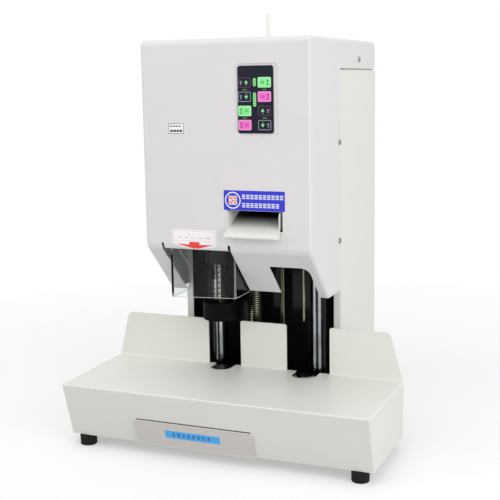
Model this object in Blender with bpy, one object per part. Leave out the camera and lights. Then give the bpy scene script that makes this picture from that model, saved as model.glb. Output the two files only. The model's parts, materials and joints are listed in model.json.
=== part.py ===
"""Rivet tube binding machine: drills a stack of papers and rivets it with a nylon tube.

The machine stands on four rubber feet. A folded sheet base is the paper table, with a
fence at its back. A column behind it carries the head, whose cover hides two carriages:
the left one drills the stack, the right one presses the hot die on the tube.

Sizes are in millimetres: x from the middle, depth back from the table's front edge and
height up from the floor. The function place turns them into metres.
"""
import math

import bmesh
import bpy
from mathutils import Matrix, Vector

MM = 0.001
GAP = 0.3

# Base box and paper table
BASE_HALF = 210.0
BASE_BOTTOM = 15.0
TABLE_TOP = 89.0
TABLE_DEPTH = 161.0
FRONT_LEAN = 21.5
BASE_SHEET = 2.0
FENCE_TOP = 153.0
FENCE_FRONT = 158.8
FENCE_BACK = 160.8
FENCE_SLANT_LEFT = 15.4
FENCE_SLANT_RIGHT = 18.0
FENCE_ROUND = 6.0
DRILL_NOTCH = (-68.0, -19.5)
RIVET_NOTCH = (48.0, 109.5)
REAR_WINDOW_HALF = 104.0

# The two stations, each an upright axis
DRILL = (-43.5, 146.0)
RIVET = (78.0, 146.0)
DRILL_HOLE_RADIUS = 15.0
RIVET_HOLE_RADIUS = 17.0

# Head cover and column
HEAD_HALF = 115.0
HEAD_FRONT = 71.0
HEAD_TOP = 532.0
HEAD_BACK = 360.0
FOLD_HEIGHT = 267.0
CHIN_FOOT_DEPTH = 142.0
COVER_BOTTOM = 196.0
COVER_BACK = 190.0
CAP_SEAM = 492.0
COVER_SHEET = 1.5
CORNER_ROUND = 4.5
TOP_ROUND = 8.0
DRILL_BAY = (-91.5, 5.5)
DRILL_BAY_TOP = 265.5
RIVET_BAY = (49.5, 103.0)
RIVET_BAY_TOP = 244.5
TONGUE_FOOT = 202.0
SLOT_WIDTH = 4.0
SLOT_TOP = 273.0

# Frame inside the column
BED_BOTTOM = 55.0
BED_TOP = 65.0
FRAME_FRONT = 209.0
TOP_PLATE = (440.0, 448.0)
LEFT_COLUMN = (-59.0, 180.0)
RIGHT_COLUMN = (87.0, 180.0)
COLUMN_RADIUS = 11.0
DRILL_SCREW = (-8.0, 190.0)
DRILL_SCREW_RADIUS = 12.0
PRESS_SCREW = (30.0, 196.0)
PRESS_SCREW_RADIUS = 5.0
SLIDING_FIT = 0.35

# Drilling gear, at the top of its travel
BIT_TIP = 158.0
BIT_RADIUS = 3.25
FOOT_RADIUS = 23.3
FOOT_TOP = 182.0
FOOT_ROD_SPREAD = 21.0
SPRING_SEAT_LOW = 178.0
SPRING_SEAT_HIGH = 256.0
SPRING_RADIUS = 7.6
SPRING_WIRE = 1.5
SPRING_CURLS = 12
POINTS_PER_CURL = 9
HOUSING_BOTTOM = 236.0
HOUSING_TOP = 340.0

# Riveting gear, at the top of its travel
PIN_TIP = 162.0
PIN_RADIUS = 2.1
DIE_FACE = 235.0

# Clear guard in front of the drill
GUARD_LEFT = -90.0
GUARD_RIGHT = 3.5
GUARD_FRONT = 92.0
GUARD_BOTTOM = 196.0
GUARD_PLATE_TOP = 262.0
GUARD_SHEET = 2.5
GUARD_PIVOT = (88.0, 281.0)

# Keypad
PANEL_X = (20.0, 66.8)
PANEL_HEIGHT = (415.5, 497.6)
PANEL_FACE = 70.5
KEY_SIZE = (17.4, 12.7)
KEY_COLUMNS = (("left", 29.3), ("right", 55.7))
KEY_TOP_ROW = 477.5
KEY_PITCH = 17.3
KEY_ROWS = 4

# Tube supply: the tube runs down a line at this x and depth
TUBE = (43.0, 120.0)
TUBE_RADIUS = 2.65
TUBE_BORE = 1.9
TUBE_END = 402.0
TUBE_TOP = 561.3
ROLLER_HEIGHT = 410.0
ROLLER_RADIUS = 9.0
CHUTE_X = (3.0, 74.0)

# Chip drawer
DRAWER_X = (-105.0, 53.0)
DRAWER_HEIGHT = (18.4, 46.0)
DRAWER_BACK = 156.0
DRAWER_FRONT_X = (-108.5, 56.5)
DRAWER_FRONT_HEIGHT = (16.5, 49.5)

# Back of the machine
REAR_COVER_HALF = 96.0
REAR_COVER_HEIGHT = (62.0, 482.0)
INLET_X = (15.0, 85.0)
INLET_HEIGHT = (24.0, 52.0)
SWITCH_X = 32.0
SWITCH_PIVOT = (357.0, 38.0)
SWITCH_TILT = 9.0

OVERALL_DEPTH = 364.4
MID_DEPTH = OVERALL_DEPTH / 2


def place(x, depth, height):
    """A point in metres, seen from the middle of the machine's footprint."""
    return Vector((x * MM, (depth - MID_DEPTH) * MM, height * MM))


def finish(name, colour, roughness, metallic=0.0, clear=0.0):
    """A plain material, its colour written as it looks (sRGB 0 to 255)."""
    material = bpy.data.materials.new(name)
    material.use_nodes = True
    shader = material.node_tree.nodes["Principled BSDF"]
    linear = [((c / 255 + 0.055) / 1.055) ** 2.4 if c > 10 else c / 3294.6 for c in colour]
    shader.inputs["Base Color"].default_value = (*linear, 1.0)
    shader.inputs["Roughness"].default_value = roughness
    shader.inputs["Metallic"].default_value = metallic
    shader.inputs["Transmission Weight"].default_value = clear
    material.diffuse_color = (*linear, 1.0)
    return material


def lift(point, along, level):
    """Put a flat outline's point in space, in the plane square to one direction."""
    a, b = point
    if along == "x":
        return place(level, a, b)
    if along == "depth":
        return place(a, level, b)
    return place(a, b, level)


def add_prism(bm, outline, along, start, stop):
    """Extrude a flat outline along x, depth or height."""
    ring = [bm.verts.new(lift(point, along, start)) for point in outline]
    face = bm.faces.new(ring)
    swept = bmesh.ops.extrude_face_region(bm, geom=[face])
    moved = [item for item in swept["geom"] if isinstance(item, bmesh.types.BMVert)]
    travel = lift((0, 0), along, stop) - lift((0, 0), along, start)
    bmesh.ops.translate(bm, verts=moved, vec=travel)
    bmesh.ops.recalc_face_normals(bm, faces=bm.faces[:])


def prism(outline, along, start, stop):
    bm = bmesh.new()
    add_prism(bm, outline, along, start, stop)
    return bm


def rectangle(a0, a1, b0, b1):
    return [(a0, b0), (a1, b0), (a1, b1), (a0, b1)]


def box(x, depth, height):
    return prism(rectangle(*x, *depth), "height", *height)


def circle(centre, radius, segments=24):
    turns = [2 * math.pi * i / segments for i in range(segments)]
    return [(centre[0] + radius * math.cos(t), centre[1] + radius * math.sin(t)) for t in turns]


def rod(centre, radius, along, start, stop, segments=24):
    return prism(circle(centre, radius, segments), along, start, stop)


def rounded(outline, radii, steps=3):
    """Replace each corner of an outline with an arc; a radius of 0 keeps it sharp."""
    points = []
    count = len(outline)
    for i, corner in enumerate(outline):
        radius = radii[i] if isinstance(radii, (list, tuple)) else radii
        here = Vector(corner)
        if radius == 0:
            points.append(tuple(here))
            continue
        before = (Vector(outline[i - 1]) - here).normalized()
        after = (Vector(outline[(i + 1) % count]) - here).normalized()
        half = before.angle(after) / 2
        centre = here + (before + after).normalized() * radius / math.sin(half)
        first = here + before * radius / math.tan(half) - centre
        last = here + after * radius / math.tan(half) - centre
        sweep = first.angle_signed(last)
        for k in range(steps + 1):
            turn = Matrix.Rotation(-sweep * k / steps, 2)
            points.append(tuple(centre + turn @ first))
    return points


def turned(centre, profile, along="height", segments=24):
    """Turn a profile of (radius, level) points once round an axis."""
    bm = bmesh.new()
    points = [bm.verts.new(lift((centre[0] + r, centre[1]), along, level)) for r, level in profile]
    edges = [bm.edges.new(pair) for pair in zip(points, points[1:])]
    if profile[0][0] > 0:
        edges.append(bm.edges.new((points[-1], points[0])))
    axis = lift((0, 0), along, 1) - lift((0, 0), along, 0)
    bmesh.ops.spin(bm, geom=points + edges, cent=lift(centre, along, 0), axis=axis.normalized(),
                   angle=2 * math.pi, steps=segments, use_merge=True)
    bmesh.ops.remove_doubles(bm, verts=bm.verts[:], dist=1e-6)
    bmesh.ops.recalc_face_normals(bm, faces=bm.faces[:])
    return bm


def link(name, bm, material, origin=None, smooth_angle=40.0):
    """Make an object of a bmesh, with its origin where the piece turns or slides."""
    origin = origin or Vector((0, 0, 0))
    bmesh.ops.translate(bm, verts=bm.verts[:], vec=-origin)
    mesh = bpy.data.meshes.new(name)
    bm.to_mesh(mesh)
    bm.free()
    mesh.shade_smooth()
    mesh.set_sharp_from_angle(angle=math.radians(smooth_angle))
    if material:
        mesh.materials.append(material)
    piece = bpy.data.objects.new(name, mesh)
    piece.location = origin
    bpy.context.scene.collection.objects.link(piece)
    return piece


def combine(piece, bm, operation):
    helper = link(piece.name + "_tool", bm, None)
    helper.hide_render = True
    helper.hide_set(True)
    helper.display_type = "WIRE"
    step = piece.modifiers.new(operation.lower(), "BOOLEAN")
    step.operation = operation
    step.solver = "EXACT"
    step.object = helper


def carve(piece, *shapes):
    for bm in shapes:
        combine(piece, bm, "DIFFERENCE")


def weld(piece, *shapes):
    for bm in shapes:
        combine(piece, bm, "UNION")


def as_sheet(piece, thickness):
    """Give an open shell its sheet thickness, inwards."""
    wall = piece.modifiers.new("sheet", "SOLIDIFY")
    wall.thickness = thickness * MM
    wall.offset = -1.0
    wall.use_even_offset = True


def open_shell(bm, is_open):
    """Delete the faces of a closed block that the folded sheet leaves open."""
    loose = [face for face in bm.faces if is_open(face)]
    bmesh.ops.delete(bm, geom=loose, context="FACES")


def front_face_depth(height):
    """Depth of the base's leaning front face at a height."""
    return FRONT_LEAN * (TABLE_TOP - height) / (TABLE_TOP - BASE_BOTTOM)


def lean_offset(height, stand_off):
    """A point that stands off the leaning front face by a distance square to it."""
    rise = TABLE_TOP - BASE_BOTTOM
    length = math.hypot(FRONT_LEAN, rise)
    depth = front_face_depth(height) - stand_off * rise / length
    return (depth, height - stand_off * FRONT_LEAN / length)


def base_table(coat):
    side = [(FRONT_LEAN, BASE_BOTTOM), (0, TABLE_TOP), (TABLE_DEPTH, TABLE_TOP), (TABLE_DEPTH, BASE_BOTTOM)]
    bm = prism(side, "x", -BASE_HALF, BASE_HALF)
    top = TABLE_TOP * MM - 1e-5
    rim = [e for e in bm.edges if all(v.co.z > top for v in e.verts)]
    back_line = place(0, TABLE_DEPTH, 0).y - 1e-5
    rim = [e for e in rim if not all(v.co.y > back_line for v in e.verts)]
    bmesh.ops.bevel(bm, geom=rim, offset=2.6 * MM, segments=2, profile=0.5, affect="EDGES")
    floor = BASE_BOTTOM * MM + 1e-5
    open_shell(bm, lambda face: all(v.co.z < floor for v in face.verts))
    table = link("base_table", bm, coat)
    as_sheet(table, BASE_SHEET)

    root = TABLE_TOP - BASE_SHEET + 0.6
    edge = BASE_HALF - 0.2
    left = [(-edge, root), (-edge + FENCE_SLANT_LEFT, FENCE_TOP), (DRILL_NOTCH[0], FENCE_TOP)]
    left.append((DRILL_NOTCH[0], root))
    middle = rectangle(DRILL_NOTCH[1], RIVET_NOTCH[0], root, FENCE_TOP)
    right = [(RIVET_NOTCH[1], root), (RIVET_NOTCH[1], FENCE_TOP), (edge - FENCE_SLANT_RIGHT, FENCE_TOP)]
    right.append((edge, root))
    inner = FENCE_ROUND / 2
    panels = ((left, (0, FENCE_ROUND, inner, 0)), (middle, (0, 0, inner, inner)),
              (right, (0, inner, FENCE_ROUND, 0)))
    for outline, radii in panels:
        weld(table, prism(rounded(outline, radii), "depth", FENCE_FRONT, FENCE_BACK))

    drill_hole = rod(DRILL, DRILL_HOLE_RADIUS, "height", 80, 95)
    rivet_hole = rod(RIVET, RIVET_HOLE_RADIUS, "height", 80, 95)
    carve(table, drill_hole, rivet_hole)
    for axis, radius in ((DRILL, DRILL_HOLE_RADIUS), (RIVET, RIVET_HOLE_RADIUS)):
        mouth = (axis[0] - radius + 0.1, axis[0] + radius - 0.1)
        carve(table, box(mouth, (axis[1], TABLE_DEPTH + 3), (80, 95)))
    carve(table, box((-REAR_WINDOW_HALF, REAR_WINDOW_HALF), (155, 166), (10, TABLE_TOP - BASE_SHEET)))
    carve(table, box((DRAWER_X[0] - 1, DRAWER_X[1] + 1), (-5, 30), (17.6, 47.0)))
    return table


def base_plate(zinc):
    neck = REAR_WINDOW_HALF - 0.5
    rear = HEAD_HALF - 1.9
    wide = BASE_HALF - 2.4
    outline = [(-wide, 24), (wide, 24), (wide, 158.6), (neck, 158.6), (neck, 161.8), (rear, 161.8),
               (rear, 356), (-rear, 356), (-rear, 161.8), (-neck, 161.8), (-neck, 158.6), (-wide, 158.6)]
    return link("base_plate", prism(outline, "height", BASE_BOTTOM, BASE_BOTTOM + 1.5), zinc)


def rubber_feet(rubber):
    top = BASE_BOTTOM - GAP
    profile = [(0, 4), (3.5, 4), (3.5, 0), (8.6, 0), (9.2, 0.8), (10, top), (0, top)]
    spots = {"foot_front_left": (-190, 30), "foot_front_right": (190, 30),
             "foot_rear_left": (-92, 340), "foot_rear_right": (92, 340)}
    for name, spot in spots.items():
        link(name, turned(spot, profile, segments=20), rubber)


def drawer_guide(zinc):
    x0, x1 = DRAWER_X[0] - 2.5, DRAWER_X[1] + 2.5
    floor = BASE_BOTTOM + 1.8
    back = DRAWER_BACK + 0.6
    guide = link("drawer_guide", box((x0, x1), (27, back + 1.2), (floor, 40)), zinc)
    carve(guide, box((x0 + 1.2, x1 - 1.2), (20, back), (floor + 1.2, 50)))
    return guide


def chip_drawer(coat):
    """Tray and front in one folded piece; the front lies flat on the leaning face."""
    low, high = DRAWER_HEIGHT
    wall = 1.2
    side = [(front_face_depth(low) - wall, low), (DRAWER_BACK, low), (DRAWER_BACK, high)]
    side.append((front_face_depth(high) - wall, high))
    origin = place(sum(DRAWER_X) / 2, front_face_depth(30), 30)
    drawer = link("chip_drawer", prism(side, "x", *DRAWER_X), coat, origin)
    inner = [(front_face_depth(low) + wall, low + wall), (DRAWER_BACK - wall, low + wall),
             (DRAWER_BACK - wall, 60), (front_face_depth(60) + wall, 60)]
    carve(drawer, prism(inner, "x", DRAWER_X[0] + wall, DRAWER_X[1] - wall))
    foot, brow = DRAWER_FRONT_HEIGHT
    lip = 2.6
    outline = [lean_offset(foot, 0.4), lean_offset(brow, 0.4), lean_offset(brow, 2.0),
               lean_offset(foot + 2.4, 2.0), lean_offset(foot + 0.6, lip), lean_offset(foot, lip)]
    plate = prism(outline, "x", *DRAWER_FRONT_X)
    brow_line = brow * MM - 0.8 * MM
    ends = [e for e in plate.edges if all(v.co.z > brow_line for v in e.verts)
            and abs(e.verts[0].co.x - e.verts[1].co.x) < 1e-6]
    bmesh.ops.bevel(plate, geom=ends, offset=5 * MM, segments=3, profile=0.5, affect="EDGES")
    weld(drawer, plate)
    return drawer


def bed_plate(steel):
    outline = [(-98, 163), (-56, 163), (-56, 130), (-31, 130), (-31, 163), (58, 163), (58, 124), (98, 124),
               (98, 345), (-98, 345)]
    bed = link("bed_plate", prism(outline, "height", BED_BOTTOM, BED_TOP), steel)
    for x in (-88, 88):
        for depth in (172, 334):
            weld(bed, box((x - 6, x + 6), (depth - 6, depth + 6), (BASE_BOTTOM + 1.8, BED_BOTTOM + 1)))
    carve(bed, rod(DRILL_SCREW, 6.3, "height", 50, 70, 16), rod(PRESS_SCREW, 4.3, "height", 50, 70, 16),
          rod(RIVET, PIN_RADIUS + 1, "height", 50, 70, 16))
    return bed


def drill_pad_pieces(steel, plastic):
    foot = BED_TOP + GAP
    cup = [(0, foot), (8, foot), (8, 78), (13.5, 78), (13.5, 86.5), (12.3, 86.5), (12.3, 81), (0, 81)]
    link("pad_holder", turned(DRILL, cup), steel)
    pad = [(0, 81 + GAP), (11.9, 81 + GAP), (11.9, 88), (11.3, 88.6), (0, 88.6)]
    link("drill_pad", turned(DRILL, pad), plastic)


def lower_die_pieces(steel, chrome):
    bore = PIN_RADIUS + 1
    body = [(bore, BED_TOP + GAP), (19, BED_TOP + GAP), (19, 72), (15.5, 72), (15.5, 84.7), (bore, 84.7)]
    link("lower_die_heater", turned(RIVET, body), steel)
    ring = [(bore, 85), (13, 85), (13, 88.4), (12.2, TABLE_TOP), (6, TABLE_TOP), (bore, 87)]
    link("lower_die_ring", turned(RIVET, ring), chrome)


def guide_columns(chrome):
    foot = BED_TOP + GAP
    head = TOP_PLATE[0] - GAP
    flange = foot + 8
    profile = [(0, foot), (15, foot), (15, flange), (COLUMN_RADIUS, flange), (COLUMN_RADIUS, head), (0, head)]
    link("guide_column_left", turned(LEFT_COLUMN, profile, segments=28), chrome)
    link("guide_column_right", turned(RIGHT_COLUMN, profile, segments=28), chrome)


def back_frame(black):
    """Channel behind the columns; its two sides reach forward to the column's flanges."""
    wall, half = 4.0, 110.0
    front, back, edge = FRAME_FRONT, FRAME_FRONT + wall, 193.0
    outline = [(-half, edge), (-half + wall, edge), (-half + wall, front), (half - wall, front),
               (half - wall, edge), (half, edge), (half, back), (-half, back)]
    return link("back_frame", prism(outline, "height", BED_TOP + GAP, TOP_PLATE[0] - GAP), black)


def top_plate(steel):
    plate = link("top_plate", box((-99, 99), (162, 250), TOP_PLATE), steel)
    carve(plate, rod(DRILL_SCREW, 6.3, "height", 430, 460, 16))
    carve(plate, rod(PRESS_SCREW, 4.3, "height", 430, 460, 16))
    return plate


def feed_screw(name, spot, radius, journal, steel):
    """A screw turns in the bed plate and the top plate, between two shoulders."""
    profile = [(0, 57), (journal, 57), (journal, 66), (radius, 66), (radius, 439), (journal, 439),
               (journal, 447.8), (0, 447.8)]
    link(name, turned(spot, profile, segments=20), steel, place(*spot, 66))


def feed_motor(name, spot, metal):
    x, depth = spot
    foot = TOP_PLATE[1] + GAP
    motor = link(name, box((x - 17.7, x + 17.7), (depth - 17.7, depth + 17.7), (foot, foot + 6)), metal)
    profile = [(0, foot + 4), (17, foot + 4), (17, 516), (14, 519), (14, 524), (0, 524)]
    weld(motor, turned(spot, profile))
    return motor


def drill_carriage(black):
    """Block on the left column and the drill screw, with the spindle housing in front."""
    outline = [(-79, 206), (-79, 166), (-66, 134), (-21, 134), (-10, 166), (13, 171), (13, 206)]
    carriage = link("drill_carriage", prism(outline, "height", 270, 305), black, place(*LEFT_COLUMN, 270))
    weld(carriage, rod(LEFT_COLUMN, 17, "height", HOUSING_BOTTOM, 330),
         rod(DRILL, 18, "height", HOUSING_BOTTOM, HOUSING_TOP))
    seat = SPRING_SEAT_HIGH
    spindle_way = [(0, 230), (9.6, 230), (9.6, seat), (7, seat), (7, 258), (13.5, 258), (13.5, 345), (0, 345)]
    carve(carriage, rod(LEFT_COLUMN, COLUMN_RADIUS + SLIDING_FIT, "height", 220, 335, 28),
          rod(DRILL_SCREW, 14.8, "height", 260, 310), turned(DRILL, spindle_way))
    for side in (-1, 1):
        spot = (DRILL[0] + side * FOOT_ROD_SPREAD, DRILL[1])
        carve(carriage, rod(spot, 2.5 + SLIDING_FIT, "height", 260, 310, 12))
    return carriage


def drill_nut(bronze):
    bore = DRILL_SCREW_RADIUS + SLIDING_FIT
    profile = [(bore, 200), (14.5, 200), (14.5, 262), (18, 262), (18, 269.7), (14.5, 269.7), (14.5, 304),
               (bore, 304)]
    link("drill_nut", turned(DRILL_SCREW, profile), bronze, place(*DRILL_SCREW, 200))


def drill_motor(metal):
    foot = HOUSING_TOP + GAP
    profile = [(0, foot), (24, foot), (24, 348), (23, 348), (23, 426), (18, 430), (18, 436), (0, 436)]
    link("drill_motor", turned(DRILL, profile), metal, place(*DRILL, foot))


def drill_spindle(steel):
    bore = BIT_RADIUS + SLIDING_FIT
    profile = [(0, 286), (bore, 286), (bore, 262), (8.6, 262), (11, 266), (11, 290), (8, 293), (8, 339.7),
               (0, 339.7)]
    link("drill_spindle", turned(DRILL, profile), steel, place(*DRILL, 262))


def drill_bit(steel):
    """A hollow bit, ground to a sharp ring, so the chips rise inside it."""
    profile = [(2.3, 159.5), (2.9, BIT_TIP), (BIT_RADIUS, 161), (BIT_RADIUS, 285.7), (2.3, 285.7)]
    link("drill_bit", turned(DRILL, profile, segments=16), steel, place(*DRILL, BIT_TIP))


def presser_foot(plastic):
    bore = BIT_RADIUS + 0.8
    profile = [(bore, BIT_TIP), (22.3, BIT_TIP), (FOOT_RADIUS, 159), (FOOT_RADIUS, 180), (22.3, FOOT_TOP),
               (10, FOOT_TOP), (10, SPRING_SEAT_LOW), (bore, SPRING_SEAT_LOW)]
    foot = link("presser_foot", turned(DRILL, profile, segments=28), plastic, place(*DRILL, FOOT_TOP))
    for side in (-1, 1):
        spot = (DRILL[0] + side * FOOT_ROD_SPREAD, DRILL[1])
        weld(foot, rod(spot, 2.5, "height", 170, 286, 12))
    return foot


def spring_route():
    """Points along the spring wire: a stub square to each seat and the curls between."""
    low = SPRING_SEAT_LOW + GAP
    high = SPRING_SEAT_HIGH - GAP
    first = low + SPRING_WIRE
    rise = (high - SPRING_WIRE - first) / SPRING_CURLS
    route = [(SPRING_RADIUS, 0.0, low)]
    for i in range(SPRING_CURLS * POINTS_PER_CURL + 1):
        turn = i / POINTS_PER_CURL
        angle = 2 * math.pi * turn
        height = first + rise * turn
        route.append((SPRING_RADIUS * math.cos(angle), SPRING_RADIUS * math.sin(angle), height))
    route.append((SPRING_RADIUS, 0.0, high))
    return [place(DRILL[0] + x, DRILL[1] + y, height) for x, y, height in route]


def least_self_gap(route):
    """The least space between two curls, in millimetres."""
    least = math.inf
    for i, point in enumerate(route):
        for other in route[i + POINTS_PER_CURL // 2 + 1:]:
            least = min(least, (point - other).length)
    return least / MM - SPRING_WIRE


def foot_spring(steel):
    route = spring_route()
    print("foot_spring least gap to itself, mm:", round(least_self_gap(route), 2))
    origin = place(*DRILL, SPRING_SEAT_HIGH)
    wire = bpy.data.curves.new("foot_spring", "CURVE")
    wire.dimensions = "3D"
    wire.bevel_depth = SPRING_WIRE / 2 * MM
    wire.bevel_resolution = 1
    wire.use_fill_caps = True
    spline = wire.splines.new("POLY")
    spline.points.add(len(route) - 1)
    for point, where in zip(spline.points, route):
        point.co = (*(where - origin), 1.0)
    wire.materials.append(steel)
    spring = bpy.data.objects.new("foot_spring", wire)
    spring.location = origin
    bpy.context.scene.collection.objects.link(spring)
    return spring


def press_carriage(black):
    outline = [(17, 206), (17, 187), (56, 162), (62, 130), (94, 130), (98, 164), (98, 206)]
    carriage = link("press_carriage", prism(outline, "height", 300, 330), black, place(*RIGHT_COLUMN, 300))
    weld(carriage, rod(RIGHT_COLUMN, 16, "height", 250, 345))
    carve(carriage, rod(RIGHT_COLUMN, COLUMN_RADIUS + SLIDING_FIT, "height", 240, 350, 28),
          rod(PRESS_SCREW, 8.3, "height", 290, 340, 16), rod(RIVET, 8.3, "height", 290, 340, 16))
    return carriage


def press_nut(bronze):
    bore = PRESS_SCREW_RADIUS + SLIDING_FIT
    profile = [(bore, 262), (8, 262), (8, 292), (11.5, 292), (11.5, 299.7), (8, 299.7), (8, 330),
               (bore, 330)]
    link("press_nut", turned(PRESS_SCREW, profile, segments=20), bronze, place(*PRESS_SCREW, 262))


def upper_die_pieces(steel, brass):
    bore = PIN_RADIUS + SLIDING_FIT
    profile = [(0, 262), (bore, 262), (bore, DIE_FACE), (6, DIE_FACE), (7, 236), (7, 252), (14, 252),
               (14, 290), (16, 290), (16, 299.7), (8, 299.7), (8, 328), (0, 328)]
    link("upper_die", turned(RIVET, profile), steel, place(*RIVET, DIE_FACE))
    pin = [(0, PIN_TIP), (PIN_RADIUS, PIN_TIP + 7), (PIN_RADIUS, 261.7), (0, 261.7)]
    link("rivet_pin", turned(RIVET, pin, segments=16), brass, place(*RIVET, PIN_TIP))


def guard(acrylic):
    """Clear U of three plates, hung on two pins inside the head."""
    depth, height = GUARD_PIVOT
    ear = 7.0
    front = rectangle(GUARD_FRONT, GUARD_FRONT + GUARD_SHEET, GUARD_BOTTOM, GUARD_PLATE_TOP)
    origin = place((GUARD_LEFT + GUARD_RIGHT) / 2, depth, height)
    shield = link("guard", prism(front, "x", GUARD_LEFT + 0.5, GUARD_RIGHT - 0.5), acrylic, origin)
    side = [(GUARD_FRONT, GUARD_BOTTOM), (GUARD_FRONT, GUARD_PLATE_TOP), (82, 274)]
    for degrees in range(180, 29, -30):
        angle = math.radians(degrees)
        side.append((depth + ear * math.cos(angle), height + ear * math.sin(angle)))
    side += [(113, 258), (150, 225), (151, 222), (151, 209), (148, 201), (141, GUARD_BOTTOM + 1),
             (132, GUARD_BOTTOM)]
    for x in (GUARD_LEFT, GUARD_RIGHT - GUARD_SHEET):
        plate = prism(side, "x", x, x + GUARD_SHEET)
        weld(shield, plate)
    carve(shield, rod(GUARD_PIVOT, 2 + SLIDING_FIT, "x", GUARD_LEFT - 5, GUARD_RIGHT + 5, 12))
    return shield


def guard_hinge_bracket(zinc):
    """A strip behind the front sheet, with a cheek and a pin at each end."""
    depth, height = GUARD_PIVOT
    wall = HEAD_FRONT + COVER_SHEET + GAP
    left, right = GUARD_LEFT - 5, GUARD_RIGHT + 5
    strip = box((left - 2, right + 2), (wall, wall + 1.5), (height - 2, height + 9))
    bracket = link("guard_hinge_bracket", strip, zinc)
    for inner, outer in ((left - 2, left), (right, right + 2)):
        weld(bracket, box((inner, outer), (wall + 0.1, depth + 6), (height - 9, height + 9)))
    weld(bracket, rod(GUARD_PIVOT, 2.0, "x", left - 0.5, GUARD_LEFT + 3.5, 12),
         rod(GUARD_PIVOT, 2.0, "x", GUARD_RIGHT - 3.5, right + 0.5, 12))
    return bracket


def head_cover(coat):
    """Folded and welded cover: front, sides, top cap and the 45 degree chin."""
    rear = COVER_BACK + 20
    step = CAP_SEAM - 20
    side = [(HEAD_FRONT, FOLD_HEIGHT), (HEAD_FRONT, HEAD_TOP), (HEAD_BACK, HEAD_TOP), (HEAD_BACK, step),
            (rear, step), (rear, COVER_BOTTOM), (CHIN_FOOT_DEPTH, COVER_BOTTOM)]
    side = rounded(side, [16, TOP_ROUND, 0, 0, 0, 0, 14])
    bm = prism(side, "x", -HEAD_HALF, HEAD_HALF)
    limit = HEAD_HALF * MM - 1e-5
    corners = [e for e in bm.edges if abs(sum(v.co.x for v in e.verts)) > 2 * limit]
    bmesh.ops.bevel(bm, geom=corners, offset=CORNER_ROUND * MM, segments=3, profile=0.5, affect="EDGES")
    cover = link("head_cover", bm, coat)
    as_sheet(cover, COVER_SHEET)
    reach = HEAD_HALF + 10
    carve(cover, prism(rectangle(COVER_BACK, HEAD_BACK + 20, 150, CAP_SEAM), "x", -reach, reach))
    flat = HEAD_HALF - CORNER_ROUND
    carve(cover, box((-flat, flat), (CHIN_FOOT_DEPTH, COVER_BACK + 5), (190, COVER_BOTTOM + 4)))

    low = COVER_BOTTOM - 20
    slots = ((DRILL_BAY[0] - 1, DRILL_BAY[0] - 1 + SLOT_WIDTH), (DRILL_BAY[1] - SLOT_WIDTH, DRILL_BAY[1]))
    carve(cover, prism(rectangle(*DRILL_BAY, low, DRILL_BAY_TOP), "depth", 60, 190))
    for slot in slots:
        carve(cover, prism(rectangle(*slot, 250, SLOT_TOP), "depth", 60, 100))
    bay = rounded(rectangle(*RIVET_BAY, low, RIVET_BAY_TOP), [0, 0, 10, 1.5])
    carve(cover, prism(bay, "depth", 60, 190))
    carve(cover, prism(rectangle(DRILL_BAY[1] - 1, RIVET_BAY[0] + 1, low, TONGUE_FOOT), "depth", 60, 190))
    window = rectangle(PANEL_X[0] - GAP, PANEL_X[1] + GAP, PANEL_HEIGHT[0] - GAP, PANEL_HEIGHT[1] + GAP)
    carve(cover, prism(rounded(window, 3), "depth", 60, 90))
    carve(cover, prism(rectangle(2.6, 77.4, 293.5, 318.5), "depth", 60, 90))
    carve(cover, rod(TUBE, 5.0, "height", 520, 540, 16))
    return cover


def keypad_panel(plastic):
    outline = rounded(rectangle(*PANEL_X, *PANEL_HEIGHT), 2.8)
    panel = link("keypad_panel", prism(outline, "depth", PANEL_FACE, PANEL_FACE + 4.5), plastic)
    pockets = bmesh.new()
    for _, x, height in key_spots():
        add_prism(pockets, key_outline(x, height, 0.25), "depth", PANEL_FACE - 2, PANEL_FACE + 2.5)
    carve(panel, pockets)
    return panel


def key_spots():
    for side, x in KEY_COLUMNS:
        for row in range(KEY_ROWS):
            yield f"key_{side}_{row + 1}", x, KEY_TOP_ROW - row * KEY_PITCH


def key_outline(x, height, grow):
    half_x = KEY_SIZE[0] / 2 + grow
    half_h = KEY_SIZE[1] / 2 + grow
    return rounded(rectangle(x - half_x, x + half_x, height - half_h, height + half_h), 1.6 + grow, 2)


def keypad_keys(green, pink, dark):
    colours = {"left": (dark, dark, green, pink), "right": (green, pink, dark, dark)}
    for name, x, height in key_spots():
        _, side, row = name.split("_")
        bm = prism(key_outline(x, height, 0), "depth", PANEL_FACE - 0.4, PANEL_FACE + 1.6)
        link(name, bm, colours[side][int(row) - 1], place(x, PANEL_FACE - 0.4, height))


def tube_chute(coat):
    """Scoop that the cut tubes slide into, with a lip rolled down over the front sheet."""
    floor = [(128, 322), (71, 296.4), (57, 285.4), (56.6, 284.2), (58, 283.2), (70.2, 283.6), (70.2, 294.8),
             (128, 320.7)]
    chute = link("tube_chute", prism(floor, "x", *CHUTE_X), coat)
    cheek = [(128, 321), (128, 337), (72, 316.8), (69.6, 312), (69.6, 295), (71.5, 295.6)]
    for x in (CHUTE_X[0] + 0.1, CHUTE_X[1] - 1.3):
        weld(chute, prism(cheek, "x", x, x + 1.2))
    return chute


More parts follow.
